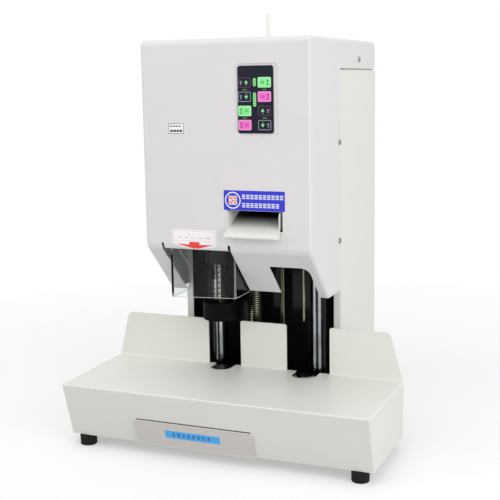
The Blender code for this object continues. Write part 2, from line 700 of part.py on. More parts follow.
def tube_supply(steel, nylon, plastic):
    rim = HEAD_TOP + 2.2
    bush = [(3.1, 524), (4.7, 524), (4.7, HEAD_TOP + GAP), (8, HEAD_TOP + GAP), (7.4, rim), (3.1, rim)]
    link("tube_guide_bush", turned(TUBE, bush, segments=20), plastic)
    tube = [(TUBE_BORE, TUBE_END), (TUBE_RADIUS, TUBE_END), (TUBE_RADIUS, TUBE_TOP), (TUBE_BORE, TUBE_TOP)]
    link("rivet_tube", turned(TUBE, tube, segments=16), nylon, place(*TUBE, TUBE_END))

    frame = link("tube_feed_frame", box((16, 102), (133, 136), (352, 451.3)), steel)
    weld(frame, box((52, 75), (134, 200), (448.3, 451.3)), box((28, 58), (110, 134), (372, 378)),
         box((28, 58), (110, 134), (360, 367.5)))
    carve(frame, rod(TUBE, 3.2, "height", 355, 385, 16))
    for x in roller_lines():
        carve(frame, rod((x, ROLLER_HEIGHT), 3, "depth", 128, 140, 12))


def roller_lines():
    reach = TUBE_RADIUS + 0.2 + ROLLER_RADIUS
    return (TUBE[0] + reach, TUBE[0] - reach)


def tube_feed_pieces(steel, rubber, metal):
    drive, pinch = roller_lines()
    for name, x, tail in (("feed_roller", drive, 135.9), ("pinch_roller", pinch, 135.5)):
        profile = [(0, 112), (2.5, 112), (2.5, 114), (ROLLER_RADIUS, 114), (ROLLER_RADIUS, 128), (2.5, 128),
                   (2.5, tail), (0, tail)]
        link(name, turned((x, ROLLER_HEIGHT), profile, "depth", 20), rubber, place(x, 121, ROLLER_HEIGHT))
    motor = [(0, 136.3), (12, 136.3), (12, 160), (9, 163), (0, 163)]
    link("tube_feed_motor", turned((drive, ROLLER_HEIGHT), motor, "depth", 20), metal)
    coil = link("cutter_solenoid", box((72, 100), (112, 132.7), (358, 382)), metal)
    carve(coil, rod((121, 369.7), 2.9, "x", 70, 93, 12))
    edge = place(47.5, 121, 369.7)
    blade = link("cutter_blade", box((47.5, 69), (111.5, 130.5), (368, 371.5)), steel, edge)
    weld(blade, rod((121, 369.7), 2.5, "x", 68, 88, 12))


def column_housing(coat):
    """Sheet column behind the table: sides, back and two narrow front flanges."""
    front, wall = COVER_BACK + GAP, COVER_SHEET
    lip = 105.5
    half, inner = HEAD_HALF, HEAD_HALF - COVER_SHEET
    fold = front + wall
    back = HEAD_BACK - wall
    outline = [(-lip, front), (-half, front), (-half, HEAD_BACK), (half, HEAD_BACK), (half, front),
               (lip, front), (lip, fold), (inner, fold), (inner, back), (-inner, back), (-inner, fold),
               (-lip, fold)]
    housing = link("column_housing", prism(outline, "height", BASE_BOTTOM, CAP_SEAM - 0.5), coat)
    for side in (-1, 1):
        x = sorted((side * (half - 0.1), side * (inner + 0.1)))
        weld(housing, box(x, (TABLE_DEPTH + GAP, front + 1), (BASE_BOTTOM + 0.1, TABLE_TOP - GAP)))
    carve(housing, box((-inner, inner), (front - 1, fold + 1), (BASE_BOTTOM - 1, BASE_BOTTOM + 1.8)))
    carve(housing, box((-86, 86), (350, 370), (75, 470)))
    inlet_x = (INLET_X[0] + 4.5, INLET_X[1] - 4.5)
    carve(housing, box(inlet_x, (350, 370), (INLET_HEIGHT[0] + 3.5, INLET_HEIGHT[1] - 3.5)))
    return housing


def rear_cover(coat):
    face = HEAD_BACK + GAP
    outline = rounded(rectangle(-REAR_COVER_HALF, REAR_COVER_HALF, *REAR_COVER_HEIGHT), 3)
    cover = link("rear_cover", prism(outline, "depth", face, face + COVER_SHEET), coat)
    slots = bmesh.new()
    for x in (-72, 12):
        for row in range(8):
            foot = 110 + row * 12
            add_prism(slots, rectangle(x, x + 60, foot, foot + 4), "depth", face - 3, face + 5)
    carve(cover, slots)
    return cover


def power_entry(plastic, dark, brass):
    """Mains inlet and switch in one moulding, with the rocker in front of it."""
    flange = rounded(rectangle(*INLET_X, *INLET_HEIGHT), 3)
    face = HEAD_BACK + GAP
    inlet = link("power_inlet", prism(flange, "depth", face, face + 2.5), dark)
    low, high = INLET_HEIGHT[0] + 4, INLET_HEIGHT[1] - 4
    weld(inlet, box((INLET_X[0] + 5, INLET_X[1] - 5), (332, face + 1), (low, high)))
    socket = rounded(rectangle(51, 76, 29.5, 46.5), [1, 1, 4, 4])
    carve(inlet, prism(socket, "depth", 344, 370))
    carve(inlet, box((SWITCH_X - 8, SWITCH_X + 8), (348, 370), (28.7, 47.3)))
    for x, height in ((57, 36), (70, 36), (63.5, 41)):
        weld(inlet, box((x - 1, x + 1), (343, 358), (height - 2, height + 2)))

    depth, height = SWITCH_PIVOT
    profile = [(-3.5, -5.5), (5.4, -8.2), (3.8, 0), (5.4, 8.2), (-3.5, 5.5)]
    tilt = Matrix.Rotation(math.radians(SWITCH_TILT), 2)
    leaning = [tilt @ Vector(point) for point in profile]
    outline = [(depth + point.x, height + point.y) for point in leaning]
    rocker = prism(outline, "x", SWITCH_X - 7.6, SWITCH_X + 7.6)
    link("rocker_switch", rocker, plastic, place(SWITCH_X, depth, height))


def electrics(iron, board_green, black):
    foot = BED_TOP + GAP
    transformer = link("transformer", box((-36, 36), (262, 316), (foot, 126)), iron)
    weld(transformer, box((-24, 24), (252, 326), (76, 115)))
    back = FRAME_FRONT + 4
    board = link("control_board", box((-75, 75), (225.6, 227.2), (170, 330)), board_green)
    for x in (-68, 68):
        for height in (178, 322):
            weld(board, rod((x, height), 3, "depth", back + GAP, 226, 10))
    chips = ((-60, -30, 190, 230, 20), (-10, 25, 190, 212, 14), (-60, -20, 260, 300, 24),
             (20, 60, 250, 300, 16))
    for x0, x1, low, high, tall in chips:
        weld(board, box((x0, x1), (226.5, 227.2 + tall), (low, high)))


def main():
    for leftover in list(bpy.data.objects):
        bpy.data.objects.remove(leftover, do_unlink=True)

    cover_coat = finish("cover_powder_coat", (216, 214, 213), 0.55)
    base_coat = finish("base_powder_coat", (226, 227, 220), 0.55)
    drawer_coat = finish("drawer_powder_coat", (205, 198, 193), 0.5)
    black_coat = finish("black_paint", (22, 22, 22), 0.3)
    zinc = finish("zinc_plate", (180, 182, 184), 0.35, 1.0)
    steel = finish("machined_steel", (165, 166, 168), 0.3, 1.0)
    chrome = finish("hard_chrome", (200, 201, 203), 0.08, 1.0)
    bronze = finish("bronze", (186, 140, 72), 0.35, 1.0)
    brass = finish("brass", (214, 190, 130), 0.3, 1.0)
    cast = finish("motor_casing", (120, 122, 125), 0.45, 1.0)
    iron = finish("transformer_iron", (70, 70, 72), 0.5, 0.6)
    rubber = finish("black_rubber", (20, 20, 20), 0.75)
    dark = finish("black_plastic", (26, 26, 27), 0.4)
    nylon = finish("white_nylon", (238, 238, 232), 0.4)
    acrylic = finish("clear_acrylic", (245, 248, 248), 0.03, 0.0, 1.0)
    panel = finish("keypad_film", (28, 30, 44), 0.35)
    green = finish("green_key_film", (140, 238, 150), 0.35)
    pink = finish("pink_key_film", (238, 110, 200), 0.35)
    board = finish("circuit_board", (30, 92, 52), 0.5)

    base_table(base_coat)
    base_plate(zinc)
    rubber_feet(rubber)
    drawer_guide(zinc)
    chip_drawer(drawer_coat)
    bed_plate(steel)
    drill_pad_pieces(steel, dark)
    lower_die_pieces(steel, chrome)
    guide_columns(chrome)
    back_frame(black_coat)
    top_plate(steel)
    feed_screw("drill_screw", DRILL_SCREW, DRILL_SCREW_RADIUS, 6.0, steel)
    feed_screw("press_screw", PRESS_SCREW, PRESS_SCREW_RADIUS, 4.0, steel)
    feed_motor("drill_feed_motor", DRILL_SCREW, cast)
    feed_motor("press_feed_motor", PRESS_SCREW, cast)
    drill_carriage(black_coat)
    drill_nut(bronze)
    drill_motor(cast)
    drill_spindle(steel)
    drill_bit(chrome)
    presser_foot(dark)
    foot_spring(brass)
    press_carriage(black_coat)
    press_nut(bronze)
    upper_die_pieces(steel, brass)
    guard(acrylic)
    guard_hinge_bracket(zinc)
    head_cover(cover_coat)
    keypad_panel(panel)
    keypad_keys(green, pink, panel)
    tube_chute(base_coat)
    tube_supply(steel, nylon, dark)
    tube_feed_pieces(steel, rubber, cast)
    column_housing(base_coat)
    rear_cover(base_coat)
    power_entry(dark, dark, brass)
    electrics(iron, board, dark)


main()
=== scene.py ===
# %% [markdown]
# # A rivet tube binding machine, dressed for the camera
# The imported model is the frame: every body and every solid is already in its place and has
# its real size. This lesson adds what a solid model leaves plain: rolled edges, threads,
# screws, printed films and, above all, finishes that answer to light as the real ones do.

# %% Load the frame
import json
import math

import bmesh
import bpy
from mathutils import Matrix, Vector


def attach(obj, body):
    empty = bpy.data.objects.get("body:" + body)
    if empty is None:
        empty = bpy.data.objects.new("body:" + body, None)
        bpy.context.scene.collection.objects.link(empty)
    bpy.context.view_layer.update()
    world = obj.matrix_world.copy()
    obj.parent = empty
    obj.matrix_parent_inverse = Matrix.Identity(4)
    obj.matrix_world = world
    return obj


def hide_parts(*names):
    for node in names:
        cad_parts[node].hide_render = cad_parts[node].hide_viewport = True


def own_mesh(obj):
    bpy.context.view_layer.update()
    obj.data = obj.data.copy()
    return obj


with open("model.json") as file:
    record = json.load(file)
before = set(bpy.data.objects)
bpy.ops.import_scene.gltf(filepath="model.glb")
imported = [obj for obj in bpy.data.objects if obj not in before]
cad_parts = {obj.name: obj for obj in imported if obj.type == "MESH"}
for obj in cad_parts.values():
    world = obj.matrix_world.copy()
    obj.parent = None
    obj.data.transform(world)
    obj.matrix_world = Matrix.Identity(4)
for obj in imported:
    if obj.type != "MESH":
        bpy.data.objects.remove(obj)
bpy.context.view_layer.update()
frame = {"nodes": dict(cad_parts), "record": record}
record = frame["record"]
BODY_OF = {node: body for body, nodes in record["behaviour"]["bodies"].items() for node in nodes}

# %% [markdown]
# ## Where things are
# All sizes are written in millimetres, as x from the middle, depth back from the table's
# front edge and height up from the floor. One function turns them into Blender's metres, so
# a number read from a drawing can be typed as it is.

# %% Sizes shared by many pieces
MM = 0.001
MID_DEPTH = 182.2

TABLE_TOP = 89.0
TABLE_DEPTH = 161.0
BASE_BOTTOM = 15.0
BASE_HALF = 210.0
FRONT_LEAN = 21.5
HEAD_HALF = 115.0
HEAD_FRONT = 71.0
HEAD_TOP = 532.0
HEAD_BACK = 360.0
COVER_BACK = 190.0
CAP_SEAM = 493.5
DRILL = (-43.5, 146.0)
RIVET = (78.0, 146.0)
TUBE = (43.0, 120.0)
CHUTE_LEFT = 3.0
CHUTE_RIGHT = 74.0
SWITCH_X = 32.0
SWITCH_PIVOT = (357.0, 38.0)
SWITCH_TILT = 9.0


def place(x, depth, height):
    """A point of the machine in metres."""
    return Vector((x * MM, (depth - MID_DEPTH) * MM, height * MM))


def lift(point, along, level):
    """Put a flat outline's point in space, square to x, depth or height."""
    a, b = point
    if along == "x":
        return place(level, a, b)
    if along == "depth":
        return place(a, level, b)
    return place(a, b, level)


# %% [markdown]
# ## Nodes without mouse clicks
# A finish is a small machine of its own. One helper adds a node and fills its sockets with
# values or links, another mixes two colours, and a third turns a colour given from 0 to 255
# into the linear numbers that a shader works with.

# %% Colours and nodes
def tone(*colour):
    """A colour as it looks, as linear red, green, blue and alpha."""
    return (*[((c / 255 + 0.055) / 1.055) ** 2.4 if c > 10 else c / 3294.6 for c in colour], 1.0)


def shade(colour, factor):
    return (*[min(1.0, c * factor) for c in colour[:3]], 1.0)


def add(tree, kind, inputs=None, **settings):
    """Add a node; inputs holds values or sockets by the name or number of the socket."""
    node = tree.nodes.new(kind)
    for key, value in settings.items():
        setattr(node, key, value)
    for key, value in (inputs or {}).items():
        if isinstance(value, bpy.types.NodeSocket):
            tree.links.new(value, node.inputs[key])
        else:
            node.inputs[key].default_value = value
    return node


def mixed(tree, share, first, second):
    """The two colours mixed; share 0 gives the first."""
    return add(tree, "ShaderNodeMix", {0: share, 6: first, 7: second}, data_type="RGBA").outputs[2]


def scaled(tree, value, low, high, to_low, to_high):
    """A value moved from one range to another."""
    return add(tree, "ShaderNodeMapRange", {"Value": value, "From Min": low, "From Max": high,
                                            "To Min": to_low, "To Max": to_high}).outputs["Result"]


def product(tree, first, second):
    return add(tree, "ShaderNodeMath", {0: first, 1: second}, operation="MULTIPLY").outputs["Value"]


# %% [markdown]
# ## Four effects that many finishes share
# Real surfaces are never even. Paint has a fine grain and faint clouds, a used edge is
# rubbed bright, and turned or polished work keeps the lines of its tool. On the coats the
# lighter edge is partly wear and partly a painted edge highlight. The fourth effect is
# painted light: soft lamps leave out the two bright lines that a polished rod shows, so they
# are drawn by the way the rod's surface faces. Each effect is one node group.

# %% A group with named sockets
def new_group(name, takes, gives):
    tree = bpy.data.node_groups.new(name, "ShaderNodeTree")
    for label, kind, value in takes:
        socket = tree.interface.new_socket(label, in_out="INPUT", socket_type="NodeSocket" + kind)
        if value is not None:
            socket.default_value = value
    for label in gives:
        tree.interface.new_socket(label, in_out="OUTPUT", socket_type="NodeSocketFloat")
    return tree, tree.nodes.new("NodeGroupInput").outputs, tree.nodes.new("NodeGroupOutput").inputs


# %% Grain and clouds
def grain_group():
    tree, taken, given = new_group(
        "grain_and_clouds",
        [("Vector", "Vector", None), ("Grain Size", "Float", 1200.0), ("Cloud Size", "Float", 14.0)],
        ["Grain", "Clouds"])
    for size, label, detail in (("Grain Size", "Grain", 3.0), ("Cloud Size", "Clouds", 5.0)):
        noise = add(tree, "ShaderNodeTexNoise", {"Vector": taken["Vector"], "Scale": taken[size],
                                                 "Detail": detail, "Roughness": 0.58})
        tree.links.new(noise.outputs["Fac"], given[label])
    return tree


# %% Rubbed edges and painted edge highlight
def worn_and_highlit_edges_group():
    """White along sharp edges, broken up by a noise: rubbed wear, and on the coats also a painted edge
    highlight.
    """
    tree, taken, given = new_group(
        "worn_and_highlit_edges",
        [("Vector", "Vector", None), ("Width", "Float", 0.0006), ("Breaks", "Float", 160.0)],
        ["Mask"])
    soft = add(tree, "ShaderNodeBevel", {"Radius": taken["Width"]}, samples=4)
    face = add(tree, "ShaderNodeNewGeometry")
    same = add(tree, "ShaderNodeVectorMath", {0: soft.outputs["Normal"], 1: face.outputs["Normal"]},
               operation="DOT_PRODUCT")
    edge = scaled(tree, same.outputs["Value"], 0.985, 0.8, 0.0, 1.0)
    noise = add(tree, "ShaderNodeTexNoise", {"Vector": taken["Vector"], "Scale": taken["Breaks"],
                                             "Detail": 3.0})
    patches = scaled(tree, noise.outputs["Fac"], 0.42, 0.62, 0.1, 1.0)
    tree.links.new(product(tree, edge, patches), given["Mask"])
    return tree


# %% Lines left by a tool
def lines_group():
    """Noise drawn out along one direction: rings on turned work, lines on polished work."""
    tree, taken, given = new_group(
        "tool_lines",
        [("Vector", "Vector", None), ("Across", "Vector", (40.0, 40.0, 3000.0))],
        ["Lines"])
    drawn = add(tree, "ShaderNodeVectorMath", {0: taken["Vector"], 1: taken["Across"]},
                operation="MULTIPLY")
    noise = add(tree, "ShaderNodeTexNoise", {"Vector": drawn.outputs["Vector"], "Scale": 1.0,
                                             "Detail": 5.0, "Roughness": 0.7})
    tree.links.new(scaled(tree, noise.outputs["Fac"], 0.3, 0.7, 0.0, 1.0), given["Lines"])
    return tree


# %% Painted highlight lines along a rod
def painted_highlight_group():
    """Two painted highlight lines down a rod; they stay on it and don't follow the lamps."""
    tree, taken, given = new_group("painted_highlight_lines", [("Vector", "Vector", None)], ["Lines"])
    facing = add(tree, "ShaderNodeTexCoord").outputs["Normal"]
    lines = []
    for degrees in (-10.5, 25.5):
        way = (math.sin(math.radians(degrees)), -math.cos(math.radians(degrees)), 0)
        same = add(tree, "ShaderNodeVectorMath", {0: facing, 1: way}, operation="DOT_PRODUCT")
        lines.append(scaled(tree, same.outputs["Value"], 0.976, 0.998, 0.0, 1.0))
    both = add(tree, "ShaderNodeMath", {0: lines[0], 1: lines[1]}, operation="MAXIMUM").outputs["Value"]
    noise = add(tree, "ShaderNodeTexNoise", {"Vector": taken["Vector"], "Scale": 34.0, "Detail": 3.0})
    uneven = scaled(tree, noise.outputs["Fac"], 0.35, 0.65, 0.6, 1.0)
    tree.links.new(product(tree, both, uneven), given["Lines"])
    return tree


GRAIN, WORN_AND_HIGHLIT_EDGES, LINES, PAINTED_HIGHLIGHT = grain_group(), worn_and_highlit_edges_group(), lines_group(), painted_highlight_group()
print("effects:", GRAIN.name, WORN_AND_HIGHLIT_EDGES.name, LINES.name, PAINTED_HIGHLIGHT.name)


# %% [markdown]
# ## One recipe for opaque finishes
# Nearly every finish here is built in the same order: a base colour with faint clouds, tool
# lines where a machine cut the surface, a second colour on rubbed edges that on the coats is
# also a painted edge highlight, a roughness that drifts between two values, and a bump from
# the grain. A few finishes also get two painted highlight lines, and the chute's floor a
# painted shade that deepens inwards. What is the same all over a surface goes straight on
# the shader's own sockets.

# %% The recipe
def finish(name, colour, rough, metal=0.0, clouds=0.05, cloud_size=14.0, grain=1400.0,
           relief=0.01, edge_wear_and_highlight=None, edge_wear_and_highlight_share=0.5, edge_wear_and_highlight_width=0.6, across=None, line_share=0.4,
           painted_highlight=None, painted_shade=None, sheen_ior=1.5):
    """rough is (lowest, highest), painted_shade (the colour of a shade painted deeper in, the depth where it
    begins, where it is full).
    """
    material = bpy.data.materials.new(name)
    material.use_nodes = True
    tree = material.node_tree
    shader = tree.nodes["Principled BSDF"]
    shader.inputs["Metallic"].default_value = metal
    shader.inputs["IOR"].default_value = sheen_ior
    where = add(tree, "ShaderNodeTexCoord").outputs["Object"]
    grains = add(tree, "ShaderNodeGroup", {"Vector": where, "Grain Size": grain,
                                           "Cloud Size": cloud_size}, node_tree=GRAIN)
    base = tone(*colour)
    look = mixed(tree, scaled(tree, grains.outputs["Clouds"], 0.35, 0.65, 0.0, 1.0),
                 shade(base, 1 - clouds), shade(base, 1 + clouds))
    height = grains.outputs["Grain"]
    if across:
        drawn = add(tree, "ShaderNodeGroup", {"Vector": where, "Across": across}, node_tree=LINES)
        look = mixed(tree, product(tree, drawn.outputs["Lines"], line_share), look, shade(base, 0.62))
        height = drawn.outputs["Lines"]
    # A painted shade: the colour darkens towards a dark one with the depth.
    if painted_shade:
        inward = add(tree, "ShaderNodeSeparateXYZ", {0: where}).outputs["Y"]
        begin, full = [(depth - MID_DEPTH) * MM for depth in painted_shade[1:]]
        look = mixed(tree, scaled(tree, inward, begin, full, 0.0, 1.0), look, tone(*painted_shade[0]))
    # Two painted highlight lines down a rod, drawn by the way its surface faces.
    if painted_highlight:
        bright = add(tree, "ShaderNodeGroup", {"Vector": where}, node_tree=PAINTED_HIGHLIGHT)
        look = mixed(tree, bright.outputs["Lines"], look, tone(*painted_highlight))
    # Lighter edges: rubbed wear, and on the coats also a painted edge highlight.
    if edge_wear_and_highlight:
        worn_and_highlit = add(tree, "ShaderNodeGroup", {"Vector": where, "Width": edge_wear_and_highlight_width * MM},
                   node_tree=WORN_AND_HIGHLIT_EDGES)
        look = mixed(tree, product(tree, worn_and_highlit.outputs["Mask"], edge_wear_and_highlight_share), look, tone(*edge_wear_and_highlight))
    bump = add(tree, "ShaderNodeBump", {"Height": height, "Strength": 1.0, "Distance": relief * MM})
    tree.links.new(look, shader.inputs["Base Color"])
    tree.links.new(scaled(tree, grains.outputs["Clouds"], 0.35, 0.65, *rough), shader.inputs["Roughness"])
    tree.links.new(bump.outputs["Normal"], shader.inputs["Normal"])
    material.diffuse_color = base
    return material


# %% [markdown]
# ## The finishes
# The sheet parts are powder coated: fine grain, a soft gloss and slightly lighter edges, which
# are partly wear and partly a painted edge highlight. The mechanism is painted or plated steel,
# the columns are hard chromed with two painted highlight lines, the nuts are bronze. The
# dictionary is keyed by the names that the record gives its materials.

# %% Paints, metals and plastics
RINGS = (40.0, 40.0, 2600.0)
STREAKS = (2600.0, 2600.0, 30.0)
LENGTHWAYS = (2200.0, 30.0, 2200.0)

LOOKS = {
    # The coats' lighter edges are partly wear and partly a painted edge highlight.
    "cover_coat": finish("cover_powder_coat", (221, 219, 219), (0.36, 0.46), clouds=0.012,
                         relief=0.012, edge_wear_and_highlight=(238, 237, 236), edge_wear_and_highlight_share=0.5, edge_wear_and_highlight_width=1.0),
    "base_coat": finish("base_powder_coat", (224, 225, 218), (0.36, 0.46), clouds=0.014,
                        relief=0.014, edge_wear_and_highlight=(243, 243, 238), edge_wear_and_highlight_share=0.5, edge_wear_and_highlight_width=1.0),
    # The drawer's strong lighter edges are mostly a painted edge highlight along its folds.
    "drawer_coat": finish("drawer_powder_coat", (206, 202, 197), (0.34, 0.42), clouds=0.014,
                          relief=0.012, edge_wear_and_highlight=(240, 237, 234), edge_wear_and_highlight_share=0.9, edge_wear_and_highlight_width=1.3),
    "black_paint": finish("black_gloss_paint", (26, 26, 26), (0.1, 0.22), clouds=0.25, sheen_ior=1.28,
                          relief=0.004, edge_wear_and_highlight=(72, 71, 68), edge_wear_and_highlight_share=0.4, edge_wear_and_highlight_width=0.5),
    "zinc": finish("zinc_plate", (176, 178, 180), (0.24, 0.42), metal=1.0, clouds=0.1,
                   cloud_size=60.0, relief=0.003, edge_wear_and_highlight=(214, 215, 216), edge_wear_and_highlight_share=0.6),
    "machined_steel": finish("machined_steel", (150, 151, 152), (0.2, 0.34), metal=1.0, clouds=0.08,
                             across=RINGS, relief=0.004, edge_wear_and_highlight=(208, 208, 208), edge_wear_and_highlight_share=0.6),
    # The chrome carries two painted highlight lines down its length.
    "hard_chrome": finish("dark_hard_chrome", (34, 35, 37), (0.08, 0.14), metal=1.0, clouds=0.1,
                          across=STREAKS, line_share=0.3, relief=0.001, painted_highlight=(184, 187, 192)),
    "die_steel": finish("die_steel", (172, 173, 174), (0.16, 0.26), metal=1.0, clouds=0.08,
                        across=RINGS, relief=0.003, edge_wear_and_highlight=(230, 230, 230)),
    # The thread steel carries two painted highlight lines down the bar.
    "thread_steel": finish("thread_steel", (84, 83, 68), (0.16, 0.3), metal=1.0, clouds=0.2,
                           across=RINGS, relief=0.002, painted_highlight=(206, 203, 172)),
    "thread_grease": finish("thread_grease", (14, 14, 12), (0.3, 0.5), clouds=0.3, grain=900.0,
                            relief=0.02, sheen_ior=1.25),
    "bronze": finish("bronze", (138, 112, 66), (0.22, 0.42), metal=1.0, clouds=0.14, across=RINGS,
                     relief=0.004, edge_wear_and_highlight=(226, 184, 112), edge_wear_and_highlight_share=0.6),
    # The brass's strong, small clouds are painted glints on the spring's wire.
    "brass": finish("brass", (112, 96, 60), (0.14, 0.3), metal=1.0, clouds=0.85, cloud_size=330.0,
                    grain=1600.0, relief=0.003, edge_wear_and_highlight=(236, 212, 150), edge_wear_and_highlight_share=0.3),
    "pale_brass": finish("pale_brass", (142, 138, 118), (0.16, 0.28), metal=1.0, clouds=0.25,
                         cloud_size=60.0, across=RINGS, line_share=0.2, relief=0.002, edge_wear_and_highlight=(210, 206, 186)),
    "motor_casing": finish("motor_casing", (112, 114, 117), (0.34, 0.5), metal=1.0, clouds=0.1,
                           relief=0.012, grain=900.0, edge_wear_and_highlight=(176, 178, 180), edge_wear_and_highlight_share=0.6),
    "transformer_iron": finish("transformer_iron", (66, 66, 68), (0.36, 0.55), metal=0.6, clouds=0.15,
                               across=LENGTHWAYS, relief=0.02, edge_wear_and_highlight=(128, 126, 122)),
    "rubber": finish("black_rubber", (22, 22, 23), (0.62, 0.8), clouds=0.2, grain=700.0, relief=0.05,
                     sheen_ior=1.3, edge_wear_and_highlight=(60, 60, 60), edge_wear_and_highlight_share=0.5, edge_wear_and_highlight_width=1.2),
    "black_plastic": finish("black_plastic", (18, 18, 18), (0.26, 0.4), clouds=0.18, grain=1800.0,
                            sheen_ior=1.26, relief=0.012, edge_wear_and_highlight=(60, 60, 61), edge_wear_and_highlight_share=0.4),
    "foot_black": finish("burnished_black", (12, 12, 13), (0.5, 0.65), clouds=0.25, grain=1500.0,
                         sheen_ior=1.14, relief=0.012, edge_wear_and_highlight=(52, 52, 53), edge_wear_and_highlight_share=0.35),
    "white_nylon": finish("white_nylon", (236, 235, 228), (0.3, 0.42), clouds=0.02, relief=0.004,
                          across=STREAKS, line_share=0.05, edge_wear_and_highlight=(248, 248, 244)),
    "keypad_film": finish("keypad_film", (27, 29, 42), (0.26, 0.36), clouds=0.1, grain=2600.0,
                          sheen_ior=1.26, relief=0.01, edge_wear_and_highlight=(88, 90, 104), edge_wear_and_highlight_share=0.4, edge_wear_and_highlight_width=0.4),
    "green_key_film": finish("green_key_film", (136, 236, 146), (0.26, 0.36), clouds=0.03,
                             grain=2600.0, relief=0.008, edge_wear_and_highlight=(190, 248, 196), edge_wear_and_highlight_width=0.4),
    "pink_key_film": finish("pink_key_film", (240, 108, 200), (0.26, 0.36), clouds=0.03,
                            grain=2600.0, relief=0.008, edge_wear_and_highlight=(250, 176, 226), edge_wear_and_highlight_width=0.4),
    "circuit_board": finish("circuit_board", (30, 92, 52), (0.3, 0.44), clouds=0.14, cloud_size=90.0,
                            grain=800.0, relief=0.03, edge_wear_and_highlight=(120, 150, 110)),
}
print("finishes:", len(LOOKS))


# %% [markdown]
# ## Clear acrylic
# The guard is bent from clear sheet. Its faces are polished and its sawn edges are frosted,
# and those edges are what the eye catches. So it gets two materials: both transmit light,
# but the edge has a rough surface. Fine scratches sit in the bump alone.

# %% Faces and edges of the acrylic
def acrylic(name, colour, rough, scratch, clear=1.0):
    material = bpy.data.materials.new(name)
    material.use_nodes = True
    tree = material.node_tree
    shader = tree.nodes["Principled BSDF"]
    shader.inputs["Transmission Weight"].default_value = clear
    shader.inputs["IOR"].default_value = 1.2
    where = add(tree, "ShaderNodeTexCoord").outputs["Object"]
    grains = add(tree, "ShaderNodeGroup", {"Vector": where, "Grain Size": 900.0,
                                           "Cloud Size": 30.0}, node_tree=GRAIN)
    drawn = add(tree, "ShaderNodeGroup", {"Vector": where, "Across": (900.0, 60.0, 240.0)},
                node_tree=LINES)
    look = mixed(tree, grains.outputs["Clouds"], shade(tone(*colour), 0.97), tone(*colour))
    bump = add(tree, "ShaderNodeBump", {"Height": drawn.outputs["Lines"], "Strength": 1.0,
                                        "Distance": scratch * MM})
    tree.links.new(look, shader.inputs["Base Color"])
    tree.links.new(scaled(tree, grains.outputs["Clouds"], 0.35, 0.65, *rough), shader.inputs["Roughness"])
    tree.links.new(bump.outputs["Normal"], shader.inputs["Normal"])
    return material


LOOKS["clear_acrylic"] = acrylic("clear_acrylic", (248, 250, 250), (0.01, 0.04), 0.0004)
ACRYLIC_EDGE = acrylic("acrylic_edge", (246, 249, 248), (0.4, 0.55), 0.004, 0.05)

# %% [markdown]
# ## Printed inks
# Labels and key legends are thin films. They use the same recipe with a little more gloss,
# and their shapes are generic bars, rings and arrows.

# %% Inks
def ink(name, *colour):
    return finish(name, colour, (0.24, 0.34), clouds=0.03, cloud_size=60.0, grain=2200.0, relief=0.003)


INKS = {
    "blue": ink("blue_label", 44, 48, 208),
    "sky": ink("sky_label", 68, 176, 246),
    "white": ink("white_ink", 244, 244, 246),
    "orange": ink("orange_ink", 246, 140, 84),
    "rose": ink("rose_ink", 246, 196, 190),
    "red": ink("red_ink", 238, 62, 50),
    "dark": ink("dark_ink", 44, 46, 52),
    "navy": ink("navy_ink", 24, 62, 118),
    "grey": ink("grey_ink", 150, 154, 176),
    "purple": ink("purple_ink", 104, 52, 92),
    "leaf": ink("leaf_ink", 52, 152, 70),
    "lime": ink("lime_ink", 132, 238, 140),
    "plum": ink("plum_ink", 176, 44, 138),
    "mint": ink("mint_ink", 196, 250, 202),
    "blush": ink("blush_ink", 250, 186, 228),
}
print("inks:", len(INKS))


# %% [markdown]
# ## Blocks and turned shapes
# Two moves make most of the machine: a flat outline pushed along one direction, and a profile
# turned about an axis. Corners are rounded afterwards with the bevel operator, so one number
# changes a radius.

# %% Round some edges
def roll(bm, edges, width, segments=6, **more):
    bmesh.ops.bevel(bm, geom=edges, offset=width * MM, offset_type="OFFSET", segments=segments,
                    profile=0.5, affect="EDGES", material=-1, **more)


# %% Push an outline
def prism(outline, along, start, stop, corners=None, steps=6):
    """Extrude a flat outline; corners gives each corner's radius, in order."""
    bm = bmesh.new()
    ring = [bm.verts.new(lift(point, along, start)) for point in outline]
    swept = bmesh.ops.extrude_face_region(bm, geom=[bm.faces.new(ring)])
    moved = [item for item in swept["geom"] if isinstance(item, bmesh.types.BMVert)]
    travel = lift((0, 0), along, stop) - lift((0, 0), along, start)
    bmesh.ops.translate(bm, verts=moved, vec=travel)
    bmesh.ops.recalc_face_normals(bm, faces=bm.faces[:])
    if corners:
        rungs = [next(e for e in v.link_edges if e.other_vert(v) not in ring) for v in ring]
        groups = {}
        for rung, radius in zip(rungs, corners):
            set_back = round(radius * math.tan(rung.calc_face_angle() / 2), 4)
            groups.setdefault(set_back, []).append(rung)
        for set_back in sorted(set(groups) - {0}):
            roll(bm, groups[set_back], set_back, steps)
    return bm


def rectangle(a0, a1, b0, b1):
    return [(a0, b0), (a1, b0), (a1, b1), (a0, b1)]


def block(x, depth, height):
    return prism(rectangle(*x, *depth), "height", *height)


# %% Turn a profile
def turned(centre, profile, along="height", steps=48):
    """Turn a profile of (radius, level) points once round an axis."""
    bm = bmesh.new()
    points = [bm.verts.new(lift((centre[0] + r, centre[1]), along, level)) for r, level in profile]
    edges = [bm.edges.new(pair) for pair in zip(points, points[1:])]
    if profile[0][0] > 0:
        edges.append(bm.edges.new((points[-1], points[0])))
    axis = (lift((0, 0), along, 1) - lift((0, 0), along, 0)).normalized()
    bmesh.ops.spin(bm, geom=points + edges, cent=lift(centre, along, 0), axis=axis,
                   angle=2 * math.pi, steps=steps, use_merge=True)
    bmesh.ops.remove_doubles(bm, verts=bm.verts[:], dist=1e-6)
    bmesh.ops.recalc_face_normals(bm, faces=bm.faces[:])
    return bm


